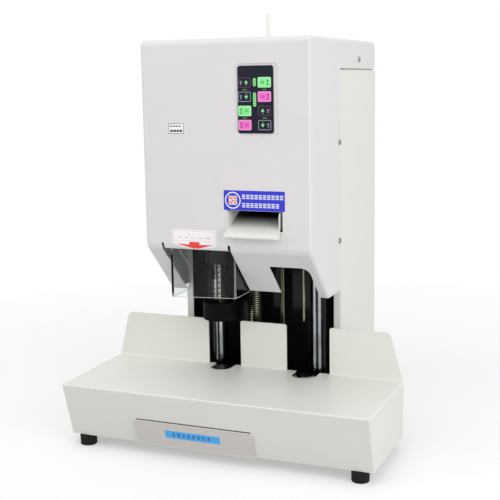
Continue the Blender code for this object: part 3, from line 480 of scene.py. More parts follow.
def rod(centre, radius, along, start, stop, steps=48):
    return turned(centre, [(0, start), (radius, start), (radius, stop), (0, stop)], along, steps)


# %% Soften and gather
def soften(bm, width, segments=2, angle=30.0):
    """Round every edge that is sharper than an angle."""
    limit = math.radians(angle)
    sharp = [e for e in bm.edges if len(e.link_faces) == 2 and e.calc_face_angle() > limit]
    roll(bm, sharp, width, segments, clamp_overlap=True)
    return bm


def gather(*parts):
    """Several shapes in one bmesh."""
    whole = bmesh.new()
    for part in parts:
        spare = bpy.data.meshes.new("spare")
        part.to_mesh(spare)
        whole.from_mesh(spare)
        bpy.data.meshes.remove(spare)
        part.free()
    return whole


# %% [markdown]
# ## From shape to piece
# A shape becomes a piece of the machine in three steps. It is made an object, tools may be
# cut out of it or welded on, and then its modifiers are settled into one mesh that rides on
# its body. Weighted normals keep large flat faces flat beside their rounded edges.

# %% Make an object, cut and weld
def shape(name, bm):
    mesh = bpy.data.meshes.new(name)
    bm.to_mesh(mesh)
    bm.free()
    item = bpy.data.objects.new(name, mesh)
    bpy.context.scene.collection.objects.link(item)
    return item


def combine(item, tools, operation):
    for bm in tools:
        step = item.modifiers.new(operation.lower(), "BOOLEAN")
        step.operation = operation
        step.solver = "EXACT"
        step.object = shape("tool", bm)


def carve(item, *tools):
    combine(item, tools, "DIFFERENCE")


def weld(item, *tools):
    combine(item, tools, "UNION")


def round_edges(item, width, segments=2, angle=32.0):
    step = item.modifiers.new("rounding", "BEVEL")
    step.width = width * MM
    step.segments = segments
    step.limit_method = "ANGLE"
    step.angle_limit = math.radians(angle)
    step.miter_outer = "MITER_ARC"


def sheet_wall(item, thickness):
    """Turn an open shell into sheet, inwards from its outside."""
    wall = item.modifiers.new("sheet", "SOLIDIFY")
    wall.thickness = thickness * MM
    wall.offset = -1.0
    wall.use_even_offset = True


# %% Settle a piece on its body
def settle(item, look, node=None, body=None, slot=None, stands_for=(), sharp=38.0):
    """Bake the modifiers and set the finish; a node's own body is found for it."""
    item.data.shade_smooth()
    evener = item.modifiers.new("even", "WEIGHTED_NORMAL")
    evener.keep_sharp = True
    item.data.set_sharp_from_angle(angle=math.radians(sharp))
    graph = bpy.context.evaluated_depsgraph_get()
    mesh = bpy.data.meshes.new_from_object(item.evaluated_get(graph), preserve_all_data_layers=True,
                                           depsgraph=graph)
    tools = [step.object for step in item.modifiers if step.type == "BOOLEAN"]
    item.modifiers.clear()
    item.data = mesh
    for tool in tools:
        bpy.data.objects.remove(tool, do_unlink=True)
    mesh.name = item.name
    if not mesh.materials:
        mesh.materials.append(look)
    else:
        mesh.materials[0] = look
    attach(item, body or BODY_OF[node])
    if node:
        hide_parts(node, *stands_for)
    return item


def piece(name, bm, node=None, look=None, **rest):
    """A finished piece straight from a bmesh, in the look of the node that it replaces."""
    return settle(shape(name, bm), look or LOOKS[SLOT_OF[node]], node, **rest)


# %% What the record says about each solid
SLOT_OF = {row["node"]: row["material_slot"] for row in record["subparts"]}
print("slots in use:", sorted(set(SLOT_OF.values())))


# %% [markdown]
# ## The paper table
# The base is one folded sheet box: a flat table with rolled front and side edges, a front
# that leans in towards the floor, and a fence that stands up behind the paper. The box is
# made as a solid block, its rims are rolled with a bevel, the bottom is opened, and the
# Solidify modifier turns the shell into sheet. The fence is pushed from an L profile, so that
# the small inner radius at its foot comes from one more bevel.

# %% The folded box
side = [(FRONT_LEAN, BASE_BOTTOM), (0, TABLE_TOP), (TABLE_DEPTH, TABLE_TOP), (TABLE_DEPTH, BASE_BOTTOM)]
bm = prism(side, "x", -BASE_HALF, BASE_HALF)
top_line = TABLE_TOP * MM - 1e-5
back_line = place(0, TABLE_DEPTH, 0).y - 1e-5
rim = [e for e in bm.edges if all(v.co.z > top_line for v in e.verts)
       and not all(v.co.y > back_line for v in e.verts)]
corner = [e for e in bm.edges if abs(e.verts[0].co.z - e.verts[1].co.z) > 0.05
          and all(v.co.y < back_line for v in e.verts)]
roll(bm, rim + corner, 2.6, 5)
bottom = [f for f in bm.faces if all(v.co.z < BASE_BOTTOM * MM + 1e-5 for v in f.verts)]
bmesh.ops.delete(bm, geom=bottom, context="FACES")
table = shape("paper_table", bm)
sheet_wall(table, 2.0)


# %% The fence, in three panels
def slice_off(bm, point, direction):
    """Cut away what lies on the far side of a plane and close the cut."""
    everything = bm.verts[:] + bm.edges[:] + bm.faces[:]
    bmesh.ops.bisect_plane(bm, geom=everything, plane_co=point, plane_no=direction, clear_outer=True)
    open_edges = [e for e in bm.edges if len(e.link_faces) == 1]
    bmesh.ops.holes_fill(bm, edges=open_edges, sides=0)
    bmesh.ops.recalc_face_normals(bm, faces=bm.faces[:])


def fence_panel(x0, x1, slant=0.0, radii=(3.0, 3.0)):
    """An upright panel with a small inner radius at its foot; slant leans its outer end."""
    low, front, back, top, root = 87.6, 158.8, 160.8, 153.0, 2.2
    profile = [(front - root, low), (front - root, TABLE_TOP), (front, TABLE_TOP), (front, top),
               (back, top), (back, low)]
    bm = prism(profile, "x", x0, x1)
    foot = [e for e in bm.edges if all((v.co - place(v.co.x / MM, front, TABLE_TOP)).length < 1e-5
                                       for v in e.verts)]
    roll(bm, foot, 2.0, 5)
    if slant:
        side = 1 if slant > 0 else -1
        end = x1 if slant > 0 else x0
        slice_off(bm, place(end, front, low), Vector((side * (top - low), 0, abs(slant))))
    for side, radius in zip((-1, 1), radii):
        lines = [e for e in bm.edges if abs(e.verts[0].co.y - e.verts[1].co.y) > 1.5 * MM
                 and all(v.co.z > top * MM - 1e-5 for v in e.verts)]
        end = max(lines, key=lambda e: side * e.verts[0].co.x)
        roll(bm, [end], radius)
    return bm


# %% Weld the fence and cut the stations
weld(table, fence_panel(-209.8, -68.0, -15.4, (6.0, 3.0)), fence_panel(-19.5, 48.0),
     fence_panel(109.5, 209.8, 18.0, (3.0, 6.0)))
for station, radius in ((DRILL, 15.0), (RIVET, 17.0)):
    carve(table, rod(station, radius, "height", 80, 95, 64),
          block((station[0] - radius + 0.1, station[0] + radius - 0.1), (146, 164), (80, 95)))
carve(table, block((-104, 104), (155, 166), (10, 87)), block((-106, 54), (-5, 30), (17.6, 50.5)))
round_edges(table, 0.3, 2, 40)
settle(table, LOOKS["base_coat"], "base_table")
print("paper table:", len(table.data.polygons), "faces")


# %% [markdown]
# ## The head cover
# Front, sides and top are one folded and welded cover with a chin that slants back at 45
# degrees. Its outline is pushed from side to side, with the two folds as round corners, and
# then all edges of the two sides are rolled. Solidify gives the sheet. The bays, the slots
# beside the guard, the keypad's shallow recess and the mouth of the chute are cut last.

# %% The shell
side = [(HEAD_FRONT, 267), (HEAD_FRONT, HEAD_TOP), (HEAD_BACK, HEAD_TOP), (HEAD_BACK, 472), (210, 472),
        (210, 196), (142, 196)]
bm = prism(side, "x", -HEAD_HALF, HEAD_HALF, [16, 8, 7, 0, 0, 0, 14], 8)
limit = HEAD_HALF * MM - 1e-5
rim = [e for e in bm.edges if abs(sum(v.co.x for v in e.verts)) > 2 * limit]
roll(bm, rim, 4.5)
cover = shape("head_shell", bm)
sheet_wall(cover, 1.5)

# %% Open the back and the bottom
reach = HEAD_HALF + 10
carve(cover, prism(rectangle(COVER_BACK, 380, 150, CAP_SEAM), "x", -reach, reach),
      block((-110.5, 110.5), (142, 195), (190, 200)))

# %% Bays, slots and windows
carve(cover, prism(rectangle(-91.5, 5.5, 176, 265.5), "depth", 60, 190))
for x in (-92.5, 1.5):
    carve(cover, prism(rectangle(x, x + 4, 250, 273), "depth", 60, 100, [0, 0, 1.9, 1.9], 4))
carve(cover, prism(rectangle(49.5, 103, 176, 244.5), "depth", 60, 190, [0, 0, 10, 1.5]),
      prism(rectangle(4.5, 50.5, 176, 202), "depth", 60, 190))
recess = prism(rectangle(15.4, 72.8, 411.9, 500.5), "depth", 60, 71.9, [4.5] * 4, 6)
inner_line = place(0, 71.9, 0).y - 1e-5
roll(recess, [e for e in recess.edges if all(v.co.y > inner_line for v in e.verts)], 0.85, 4)
carve(cover, recess)
carve(cover, prism(rectangle(19.7, 67.1, 415.2, 497.9), "depth", 60, 90, [3] * 4),
      prism(rectangle(2.6, 77.4, 293.5, 318.5), "depth", 60, 90, [0.8] * 4, 3),
      rod(TUBE, 5.0, "height", 520, 540, 32))
weld(cover, *[block((x - 0.5, x + 0.5), (211, 357), (486, 498)) for x in (-111.2, 111.2)])
round_edges(cover, 0.3, 2, 40)
settle(cover, LOOKS["cover_coat"], "head_cover")
print("head shell:", len(cover.data.polygons), "faces")

# %% [markdown]
# ## Parts whose solid has the right shape
# Folded brackets, plates and carriages are already right in the frame's solids; what they
# lack is the small radius that every real edge has. A copy of the solid is merged, its flat
# faces are joined again and its sharp edges are bevelled. A joined face can close a hole in
# it, so covers and carriages with holes keep their triangles. No solid is ever touched.

# %% A softened copy of a solid
def copy_of(node, join=True):
    """join turns the triangles of flat faces into one face each."""
    bm = bmesh.new()
    bm.from_mesh(frame["nodes"][node].data)
    bmesh.ops.remove_doubles(bm, verts=bm.verts[:], dist=2e-6)
    if not join:
        return bm
    bmesh.ops.dissolve_limit(bm, angle_limit=math.radians(0.6), use_dissolve_boundaries=False,
                             verts=bm.verts[:], edges=bm.edges[:])
    return bm


def area(mesh):
    mesh.calc_loop_triangles()
    return sum(triangle.area for triangle in mesh.loop_triangles)


WITH_HOLES = {"rear_cover", "drill_carriage", "press_carriage"}


def softened(node, name, width=0.4, angle=34.0, second=None):
    """second is (a material, a test of a face's middle) for what is made of something else."""
    item = shape(name, copy_of(node, node not in WITH_HOLES))
    round_edges(item, width, 2, angle)
    settle(item, LOOKS[SLOT_OF[node]], node)
    print(f"{name}: {area(item.data) / area(frame['nodes'][node].data):.3f} of the solid's area")
    if second:
        item.data.materials.append(second[0])
        for face in item.data.polygons:
            if second[1](face):
                face.material_index = 1
    return item


def height_of(face):
    return face.center.z / MM


def depth_of(face):
    return face.center.y / MM + MID_DEPTH


# %% Housing, covers, plates and brackets
def soften_all(*rows):
    for row in rows:
        softened(*row)


DRAWER_LIP = 2.0
soften_all(("column_housing", "column_sheet", 0.6), ("rear_cover", "rear_sheet", 0.3),
           ("base_plate", "bottom_plate", 0.3), ("drawer_guide", "drawer_channel", 0.3))
bm = copy_of("chip_drawer", False)
for v in bm.verts:
    if v.co.z < 17.2 * MM and v.co.y < place(0, 23, 0).y:
        v.co.z -= DRAWER_LIP * MM
drawer = shape("drawer", bm)
round_edges(drawer, 0.35, 2, 24)
settle(drawer, LOOKS["drawer_coat"], "chip_drawer")
print(f"drawer: {area(drawer.data) / area(frame['nodes']['chip_drawer'].data):.3f} of the solid's area")
soften_all(("bed_plate", "bed", 0.6), ("back_frame", "channel_frame", 0.8), ("top_plate", "motor_plate", 0.5),
           ("guard_hinge_bracket", "hinge_strip", 0.25), ("tube_feed_frame", "feed_bracket", 0.3),
           ("cutter_solenoid", "cutter_coil", 0.5), ("cutter_blade", "cutter", 0.12),
           ("power_inlet", "inlet", 0.3), ("rocker_switch", "rocker", 0.35),
           ("keypad_panel", "keypad_face", 0.15, 50), ("drill_carriage", "drill_block", 0.4),
           ("press_carriage", "press_block", 0.4))
softened("transformer", "transformer_core", 0.6, second=(
    LOOKS["bronze"], lambda face: abs(face.center.x) < 0.0245 and not 262 < depth_of(face) < 316))
softened("control_board", "board", 0.3, second=(
    LOOKS["black_plastic"], lambda face: depth_of(face) > 227.4))
print("softened copies made")

# %% [markdown]
# ## The chute for the cut tubes
# The scoop is bent from sheet and its lip is rolled down over the front cover, so its profile
# ends in a part of an ellipse. The inside of the photographed scoop lies in deep shade, and
# the lamps here reach further in. So that shade is painted: the floor gets darker with depth.

# %% Floor, lip and cheeks
lip = [(71, 296.4), (66.5, 294.6), (62.2, 292.4), (59.2, 290.3), (57.5, 288.6), (56.8, 287.0), (57.1, 285.6),
       (58.3, 284.6), (60, 284.3)]
floor_line = [(128, 322), *lip, (70.2, 284.6), (70.2, 294.8), (128, 320.7)]
cheek = [(128, 321), (128, 337), (72, 316.8), (69.6, 312), (69.6, 295), (71.5, 295.6)]
chute = shape("chute", prism(floor_line, "x", CHUTE_LEFT, CHUTE_RIGHT))
weld(chute, *[prism(cheek, "x", x, x + 1.2) for x in (CHUTE_LEFT + 0.1, CHUTE_RIGHT - 1.3)])
round_edges(chute, 0.25, 2, 40)
settle(chute, LOOKS["base_coat"], "tube_chute")
# The upward faces inside the mouth get a painted shade that darkens with the depth.
chute.data.materials.append(finish("painted_shade_coat", (212, 212, 205), (0.4, 0.5), clouds=0.05, relief=0.014,
                                   painted_shade=((22, 22, 21), 74.0, 98.0)))
for face in chute.data.polygons:
    face.material_index = int(face.normal.z > 0.8 and depth_of(face) > 71.2)
print("chute:", len(chute.data.polygons), "faces")

# %% [markdown]
# ## Turned parts
# Feet, columns, dies, motors, rollers and the tube are round, and the frame's solids have
# few sides. They are turned again from the same profiles with more steps and small chamfers.

# %% Feet and columns
FOOT_SPOTS = {"foot_front_left": (-190, 30), "foot_front_right": (190, 30),
              "foot_rear_left": (-92, 340), "foot_rear_right": (92, 340)}
foot_profile = [(0, 4), (3.1, 4), (3.5, 3.6), (3.5, 0.5), (4.0, 0), (10.3, 0), (11.0, 0.7), (11.4, 13.9),
                (11.0, 14.7), (0, 14.7)]
for node, spot in FOOT_SPOTS.items():
    piece("rubber_" + node, turned(spot, foot_profile, steps=40), node)

column_profile = [(0, 65.3), (14.4, 65.3), (15, 65.9), (15, 72.7), (14.4, 73.3), (11.6, 73.3), (11, 73.9),
                  (11, 439.1), (10.4, 439.7), (0, 439.7)]
piece("left_column", turned((-59, 180), column_profile, steps=72), "guide_column_left")
piece("right_column", turned((87, 180), column_profile, steps=72), "guide_column_right")


# %% Drilling gear
pad_cup = [(0, 65.3), (8, 65.3), (8, 78), (13.2, 78), (13.5, 78.3), (13.5, 86.2), (13.2, 86.5), (12.5, 86.5),
           (12.3, 86.3), (12.3, 81), (0, 81)]
piece("pad_cup", turned(DRILL, pad_cup), "pad_holder")
piece("pad", turned(DRILL, [(0, 81.3), (11.9, 81.3), (11.9, 88), (11.3, 88.6), (0, 88.6)]), "drill_pad")
motor = [(0, 340.3), (23.6, 340.3), (24, 340.7), (24, 347.6), (23.6, 348), (23, 348.6), (23, 382),
         (22.6, 382.4), (22.6, 383.4), (23, 383.8), (23, 425), (22, 427), (18.4, 429.6), (18, 430.4),
         (18, 435.4), (17.4, 436), (0, 436)]
piece("spindle_motor", turned(DRILL, motor, steps=64), "drill_motor")
spindle = [(0, 286), (3.6, 286), (3.6, 262), (8.6, 262), (11, 266), (11, 271), (10.6, 271.4), (10.6, 272.6),
           (11, 273), (11, 290), (8, 293), (8, 339.7), (0, 339.7)]
piece("spindle", turned(DRILL, spindle, steps=56), "drill_spindle")
bit = [(1.9, 159.5), (2.4, 158), (2.7, 161), (2.7, 200), (2.7, 285.7), (1.9, 285.7)]
piece("hollow_bit", turned(DRILL, bit, steps=40), "drill_bit", LOOKS["die_steel"])

# %% Presser foot on its two rods
foot = [(4.05, 158.4), (4.45, 158), (22.3, 158), (23.3, 159), (23.3, 166.6), (22.9, 167), (22.9, 167.8),
        (23.3, 168.2), (23.3, 180), (22.3, 182), (10.6, 182), (10, 181.4), (10, 178), (4.05, 178)]
item = shape("foot_puck", turned(DRILL, foot, steps=72))
for side in (-1, 1):
    stem = [(0, 170), (2.3, 170), (2.3, 285.5), (1.9, 286), (0, 286)]
    weld(item, turned((DRILL[0] + side * 21, DRILL[1]), stem, steps=24))
settle(item, LOOKS["foot_black"], "presser_foot")

# %% Riveting gear
heater = [(3.1, 65.3), (19, 65.3), (19, 71.4), (18.4, 72), (15.5, 72), (15.5, 84.3), (15.1, 84.7),
          (3.1, 84.7)]
piece("die_heater", turned(RIVET, heater), "lower_die_heater")
ring = [(3.1, 85), (12.6, 85), (13, 85.4), (13, 88.2), (12.2, 89), (6, 89), (3.1, 87)]
piece("die_ring", turned(RIVET, ring, steps=64), "lower_die_ring", LOOKS["die_steel"])
die = [(0, 262), (2.45, 262), (2.45, 235), (6, 235), (7, 236), (7, 252), (13.6, 252), (14, 252.4),
       (14, 263.6), (13.6, 264), (13.6, 265), (14, 265.4), (14, 290), (15.7, 290), (16, 290.3), (16, 299.4),
       (15.7, 299.7), (8, 299.7), (8, 328), (0, 328)]
piece("heated_die", turned(RIVET, die, steps=56), "upper_die")
pin = [(0, 162), (0.5, 162.6), (1.5, 169), (1.5, 261.7), (0, 261.7)]
piece("pin", turned(RIVET, pin, steps=32), "rivet_pin", LOOKS["pale_brass"])

# %% Nuts, motors and rollers
nut = [(12.35, 200), (14.2, 200), (14.5, 200.3), (14.5, 262), (17.6, 262), (18, 262.4), (18, 269.3),
       (17.6, 269.7), (14.5, 269.7), (14.5, 304), (12.35, 304)]
piece("long_nut", turned((-8, 190), nut, steps=56), "drill_nut")
nut = [(5.35, 262), (7.7, 262), (8, 262.3), (8, 292), (11.2, 292), (11.5, 292.3), (11.5, 299.4),
       (11.2, 299.7), (8, 299.7), (8, 330), (5.35, 330)]
piece("short_nut", turned((30, 196), nut, steps=48), "press_nut")
for node, spot in (("drill_feed_motor", (-8, 190)), ("press_feed_motor", (30, 196))):
    x, depth = spot
    flange = prism(rectangle(x - 17.7, x + 17.7, depth - 17.7, depth + 17.7), "height", 448.3, 454.3,
                   [2.5] * 4, 3)
    can = [(0, 454.3), (16.6, 454.3), (17, 454.7), (17, 470), (16.7, 470.3), (16.7, 471), (17, 471.3),
           (17, 515.4), (14.4, 518.6), (14, 519.4), (14, 523.4), (13.4, 524), (0, 524)]
    piece(node + "_can", gather(soften(flange, 0.4), turned(spot, can, steps=56)), node)
for node, x, tail in (("feed_roller", 54.85, 135.9), ("pinch_roller", 31.15, 135.5)):
    profile = [(0, 112), (2.3, 112), (2.5, 112.2), (2.5, 114), (8.6, 114), (9, 114.4), (9, 127.6), (8.6, 128),
               (2.5, 128), (2.5, tail), (0, tail)]
    item = piece(node + "_tyre", turned((x, 410), profile, "depth", 48), node)
    item.data.materials.append(LOOKS["machined_steel"])
    for face in item.data.polygons:
        face.material_index = int(math.hypot(face.center.x / MM - x, face.center.z / MM - 410) < 5.5)
gear_motor = [(0, 136.3), (11.6, 136.3), (12, 136.7), (12, 159.4), (9, 163), (0, 163)]
piece("feed_gear_motor", turned((54.85, 410), gear_motor, "depth", 48), "tube_feed_motor")

# %% The nylon tube and its bush
bush = [(3.1, 524), (4.7, 524), (4.7, 532.3), (6.0, 532.3), (6.3, 532.6), (5.9, 533.6), (5.6, 533.8),
        (3.4, 533.8), (3.1, 533.5)]
piece("tube_bush", turned(TUBE, bush, steps=40), "tube_guide_bush", LOOKS["white_nylon"])
tube = [(1.9, 402), (2.65, 402), (2.65, 561.1), (2.45, 561.3), (2.1, 561.3), (1.9, 561.1)]
piece("nylon_tube", turned(TUBE, tube, steps=32), "rivet_tube")
print("turned parts made")


# %% [markdown]
# ## Feed screws
# The ribbed bar between the two stations is a feed screw with four threads side by side, so
# that one turn moves the carriage 12 mm. A long zigzag profile is spun once round the axis
# while it climbs by the lead. Because the profile repeats every 3 mm, its end meets its
# beginning four threads higher, and merging the doubles closes the surface. Two planes then
# cut the ragged ends off.

# %% Spin with a climb
def threaded_bar(centre, radius, low, high, lead=12.0, starts=4, steps=36, deep=1.1):
    pitch = lead / starts
    count = int((high - low + 2 * lead) / pitch)
    bm = bmesh.new()
    points = []
    for i in range(count):
        foot = low - lead + i * pitch
        for r, rise in ((radius, 0.0), (radius, 0.3), (radius - deep, 0.42), (radius - deep, 0.88)):
            points.append(bm.verts.new(place(centre[0] + r, centre[1], foot + rise * pitch)))
    edges = [bm.edges.new(pair) for pair in zip(points, points[1:])]
    bmesh.ops.spin(bm, geom=points + edges, cent=place(*centre, 0), axis=(0, 0, 1), angle=2 * math.pi,
                   steps=steps, dvec=(0, 0, lead * MM / steps), use_merge=False)
    bmesh.ops.remove_doubles(bm, verts=bm.verts[:], dist=4e-6)
    for level, direction in ((low, -1), (high, 1)):
        slice_off(bm, place(*centre, level), Vector((0, 0, direction)))
    return bm


def feed_screw(name, node, centre, radius, journal):
    thread = threaded_bar(centre, radius, 66.0, 439.0)
    ends = [turned(centre, [(0, a), (journal - 0.3, a), (journal, a + 0.3), (journal, b), (0, b)])
            for a, b in ((57.0, 66.0), (439.0, 447.8))]
    # The bar's steel carries two painted highlight lines down its length.
    item = piece(name, gather(thread, *ends), node, LOOKS["thread_steel"], sharp=28)
    item.data.materials.append(LOOKS["thread_grease"])
    for face in item.data.polygons:
        x, depth = face.center.x / MM - centre[0], depth_of(face) - centre[1]
        in_the_groove = math.hypot(x, depth) < radius - 0.35 and 66.1 < height_of(face) < 438.9
        face.material_index = int(in_the_groove)
    return item


for item in (feed_screw("drill_feed_screw", "drill_screw", (-8, 190), 12.0, 6.0),
             feed_screw("press_feed_screw", "press_screw", (30, 196), 5.0, 4.0)):
    print(item.name, len(item.data.polygons), "faces")

# %% [markdown]
# ## The foot's spring
# A brass-coloured wire is wound in twelve curls. A small circle is spun round the axis and
# climbs as it goes: one flat curl at each end, the open curls between. In use the spring is
# squeezed when the foot rises; the finished piece gets a mesh of its own.

# %% Wind the wire
def wind(bm, ring, centre, turns, climb, steps=36):
    """Spin a ring of wire round an axis; climb is its rise in millimetres a turn."""
    count = round(steps * turns)
    swept = bmesh.ops.spin(bm, geom=ring, cent=place(*centre, 0), axis=(0, 0, 1),
                           angle=2 * math.pi * turns, steps=count,
                           dvec=(0, 0, climb * turns * MM / count), use_merge=False)
    return swept["geom_last"]


wire, low, high, curls = 1.2, 178.3, 255.7, 12
bm = bmesh.new()
circle = bmesh.ops.create_circle(bm, segments=10, radius=wire / 2 * MM,
                                 matrix=Matrix.Translation(place(DRILL[0] + 7.6, DRILL[1], low + wire / 2))
                                 @ Matrix.Rotation(math.radians(90), 4, "X"))
ring = circle["verts"] + list({e for v in circle["verts"] for e in v.link_edges})
open_climb = (high - low - 3 * wire - 0.2) / (curls - 2)
ring = wind(bm, ring, DRILL, 1, wire + 0.1)
ring = wind(bm, ring, DRILL, curls - 2, open_climb)
ring = wind(bm, ring, DRILL, 1, wire + 0.1)
bmesh.ops.remove_doubles(bm, verts=bm.verts[:], dist=1e-6)
bmesh.ops.holes_fill(bm, edges=[e for e in bm.edges if len(e.link_faces) == 1], sides=0)
bmesh.ops.recalc_face_normals(bm, faces=bm.faces[:])
spring = piece("foot_coil", bm, "foot_spring", sharp=60)
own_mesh(spring)
print("spring:", len(spring.data.polygons), "faces")

# %% [markdown]
# ## The clear guard
# The guard is a copy of its solid with polished faces and frosted narrow edges. Its lower
# edge isn't quite level: it rises a little towards the right.

# %% Frost the edges
bm = copy_of("guard")
for v in bm.verts:
    if v.co.z < 212 * MM:
        v.co.z += 3.3 * MM * (v.co.x / MM + 90) / 93.5
guard = shape("clear_guard", bm)
round_edges(guard, 0.25, 2, 34)
settle(guard, LOOKS["clear_acrylic"], "guard")
guard.data.materials.append(ACRYLIC_EDGE)


def on_a_broad_face(face):
    """True on the outside and inside of the three plates."""
    x, depth = face.center.x / MM, depth_of(face)
    sideways = abs(face.normal.x) > 0.99 and min(abs(x - v) for v in (-90, -87.5, 1.0, 3.5)) < 0.05
    forward = abs(face.normal.y) > 0.99 and min(abs(depth - v) for v in (92, 94.5)) < 0.05
    return sideways or forward


for face in guard.data.polygons:
    face.material_index = 0 if on_a_broad_face(face) else 1
print("guard:", sum(f.material_index == 1 for f in guard.data.polygons), "edge faces")


# %% [markdown]
# ## Thin films
# A label is 0.15 mm of film and its print is thinner still. Each printed shape is pushed
# out by a few hundredths of a millimetre, which is enough to keep it apart from the film
# below it, and all shapes of one ink on one body are gathered in one piece.

# %% Bars, rings and arrows on an upright face
def bar(x, height, wide, tall, face, thick=0.05, radius=0.0):
    """A small rectangle about a middle, standing out of an upright face at a depth."""
    outline = rectangle(x - wide / 2, x + wide / 2, height - tall / 2, height + tall / 2)
    return prism(outline, "depth", face - thick, face + 0.02, [radius] * 4 if radius else None, 4)


def arrow(x, height, wide, tall, face, up=True):
    """A triangle, with its point up or down."""
    sign = 1 if up else -1
    outline = [(x - wide / 2, height - sign * tall / 2), (x + wide / 2, height - sign * tall / 2),
               (x, height + sign * tall / 2)]
    return prism(outline, "depth", face - 0.05, face + 0.02)


def printed(name, colour, body, *parts):
    return settle(shape(name, gather(*parts)), INKS[colour], body=body)


# %% [markdown]
# ## Keypad
# Eight film keys stand in two columns on a dark panel. A key is a rounded block; its front
# is inset once, so that the printed border and the field inside it are separate faces of one
# mesh. Legends are plain arrows and bars.

# %% Keys
KEY_FACE = 70.1
KEYS = {"left_1": ("up", "purple"), "left_2": ("down", "grey"), "left_3": ("green", "mint"),
        "left_4": ("pink", "blush"), "right_1": ("green", "mint"), "right_2": ("pink", "blush"),
        "right_3": ("up", "purple"), "right_4": ("down", "grey")}

for label, (kind, border) in KEYS.items():
    side, row = label.split("_")
    x, height = (29.3 if side == "left" else 55.7), 477.5 - 17.3 * (int(row) - 1)
    bm = prism(rectangle(x - 8.7, x + 8.7, height - 6.35, height + 6.35), "depth", KEY_FACE, KEY_FACE + 2,
               [1.7] * 4, 5)
    soften(bm, 0.25, 2, 50)
    front = max((f for f in bm.faces if f.normal.y < -0.99), key=lambda f: f.calc_area())
    rim = bmesh.ops.inset_region(bm, faces=[front], thickness=0.75 * MM, depth=0.0)
    for face in rim["faces"]:
        face.material_index = 1
    key = piece("cap_" + label, bm, "key_" + label)
    key.data.materials.append(INKS[border])
    middle = x + (2.5 if side == "left" else -2.5)
    sign = x + (-4.7 if side == "left" else 4.6)
    body = "key_" + label
    if kind in ("up", "down"):
        up = kind == "up"
        printed("arrow_" + label, "lime", body,
                arrow(middle, height + (0.9 if up else -0.9), 5.0, 4.0, KEY_FACE, up))
        printed("stem_" + label, "grey", body,
                bar(middle, height - (2.7 if up else -2.7), 1.6, 1.5, KEY_FACE),
                bar(sign, height + 1.2, 2.8, 1.3, KEY_FACE), bar(sign, height - 1.3, 1.2, 3.4, KEY_FACE))
    else:
        colour = "leaf" if kind == "green" else "plum"
        bars = [bar(middle + dx, height, 0.9, 3.4, KEY_FACE) for dx in (-1.8, 0.0, 1.8)]
        printed("legend_" + label, colour, body, *bars, bar(sign, height + 2.1, 3.2, 1.4, KEY_FACE),
                bar(sign, height - 1.0, 1.2, 4.4, KEY_FACE), bar(sign, height - 3.1, 3.2, 0.8, KEY_FACE))

# %% Print on the panel
pills = [bar(42.65, 477.8, 3.9, 9.8, 70.5, 0.08, 1.8), bar(42.65, 456.7, 3.9, 17.2, 70.5, 0.08, 1.8)]
printed("panel_pills", "lime", "machine", *pills)
dots = [bar(42.65, h, 1.6, 1.2, 70.42) for h in (475.6, 477.8, 480.0, 450.7, 453.7, 456.7, 459.7, 462.7)]
printed("panel_pill_marks", "dark", "machine", *dots)
dashes = [bar(x, h, 5.6, 1.1, 70.5) for x in (29.3, 55.7) for h in (468.9, 434.2)]
printed("panel_dashes", "leaf", "machine", *dashes)
print("keypad made")

# %% [markdown]
# ## Labels
# The blue label over the chute is a film with a white ring round four plain squares and two
# rows of dashes. The small white plate has a frame and two rows of short bars.

# %% Blue label over the chute
printed("blue_film", "blue", "machine", bar(39.5, 331.4, 82.4, 25.2, HEAD_FRONT, 0.15, 0.6))
film = HEAD_FRONT - 0.15
MID_X, MID_HEIGHT = 10.8, 331.4
ring = [(9.3, film - 0.05), (10.7, film - 0.05), (10.7, film + 0.02), (9.3, film + 0.02)]
spots = [(MID_X + dx, MID_HEIGHT + dz) for dx in (-3.0, 3.0) for dz in (-3.0, 3.0)]
squares = [bar(*spot, 5.4, 5.4, film, 0.05, 1.0) for spot in spots]
fields = [bar(*spot, 3.8, 3.8, film - 0.04, 0.04, 0.7) for spot in spots]
lines = [bar(25.6 + 5.65 * i, row + dz, 4.3, 1.15, film) for row, count in ((336.2, 10), (325.6, 9))
         for i in range(count) for dz in (-2.1, 0.0, 2.1)]
ring = turned((MID_X, MID_HEIGHT), ring, "depth", 64)
printed("blue_film_print", "white", "machine", ring, *squares, *lines)
printed("blue_film_emblem", "orange", "machine", *fields)

# %% Small plate on the left
printed("small_plate", "white", "machine", bar(-66, 421, 22, 14, HEAD_FRONT, 0.2, 0.5))
film = HEAD_FRONT - 0.2
frame_bars = [bar(-66, 421 + dz, 21, 0.6, film) for dz in (-6.4, 6.4)]
frame_bars += [bar(-66 + dx, 421, 0.6, 13.2, film) for dx in (-10.4, 10.4)]
frame_bars += [bar(-66 + dx, 424, 3.0, 1.5, film) for dx in (-7, -3, 1, 5)]
frame_bars += [bar(-66 + dx, 418, 3.6, 3.0, film) for dx in (-6.6, -2.2, 2.2, 6.6)]
printed("small_plate_print", "dark", "machine", *frame_bars)
print("labels made")

# %% [markdown]
# ## The label over the left bay
# This film is wide and low, and its lower part bends round the fold where the chin begins.
# So each shape is drawn flat, as x and the distance down from where the fold begins, cut
# into narrow strips by planes, and then its points are moved on to the head's outline.

# %% Round the fold
FOLD_RADIUS = 16.0
FOLD_CENTRE = (HEAD_FRONT + FOLD_RADIUS, 267 + FOLD_RADIUS * math.tan(math.radians(22.5)))


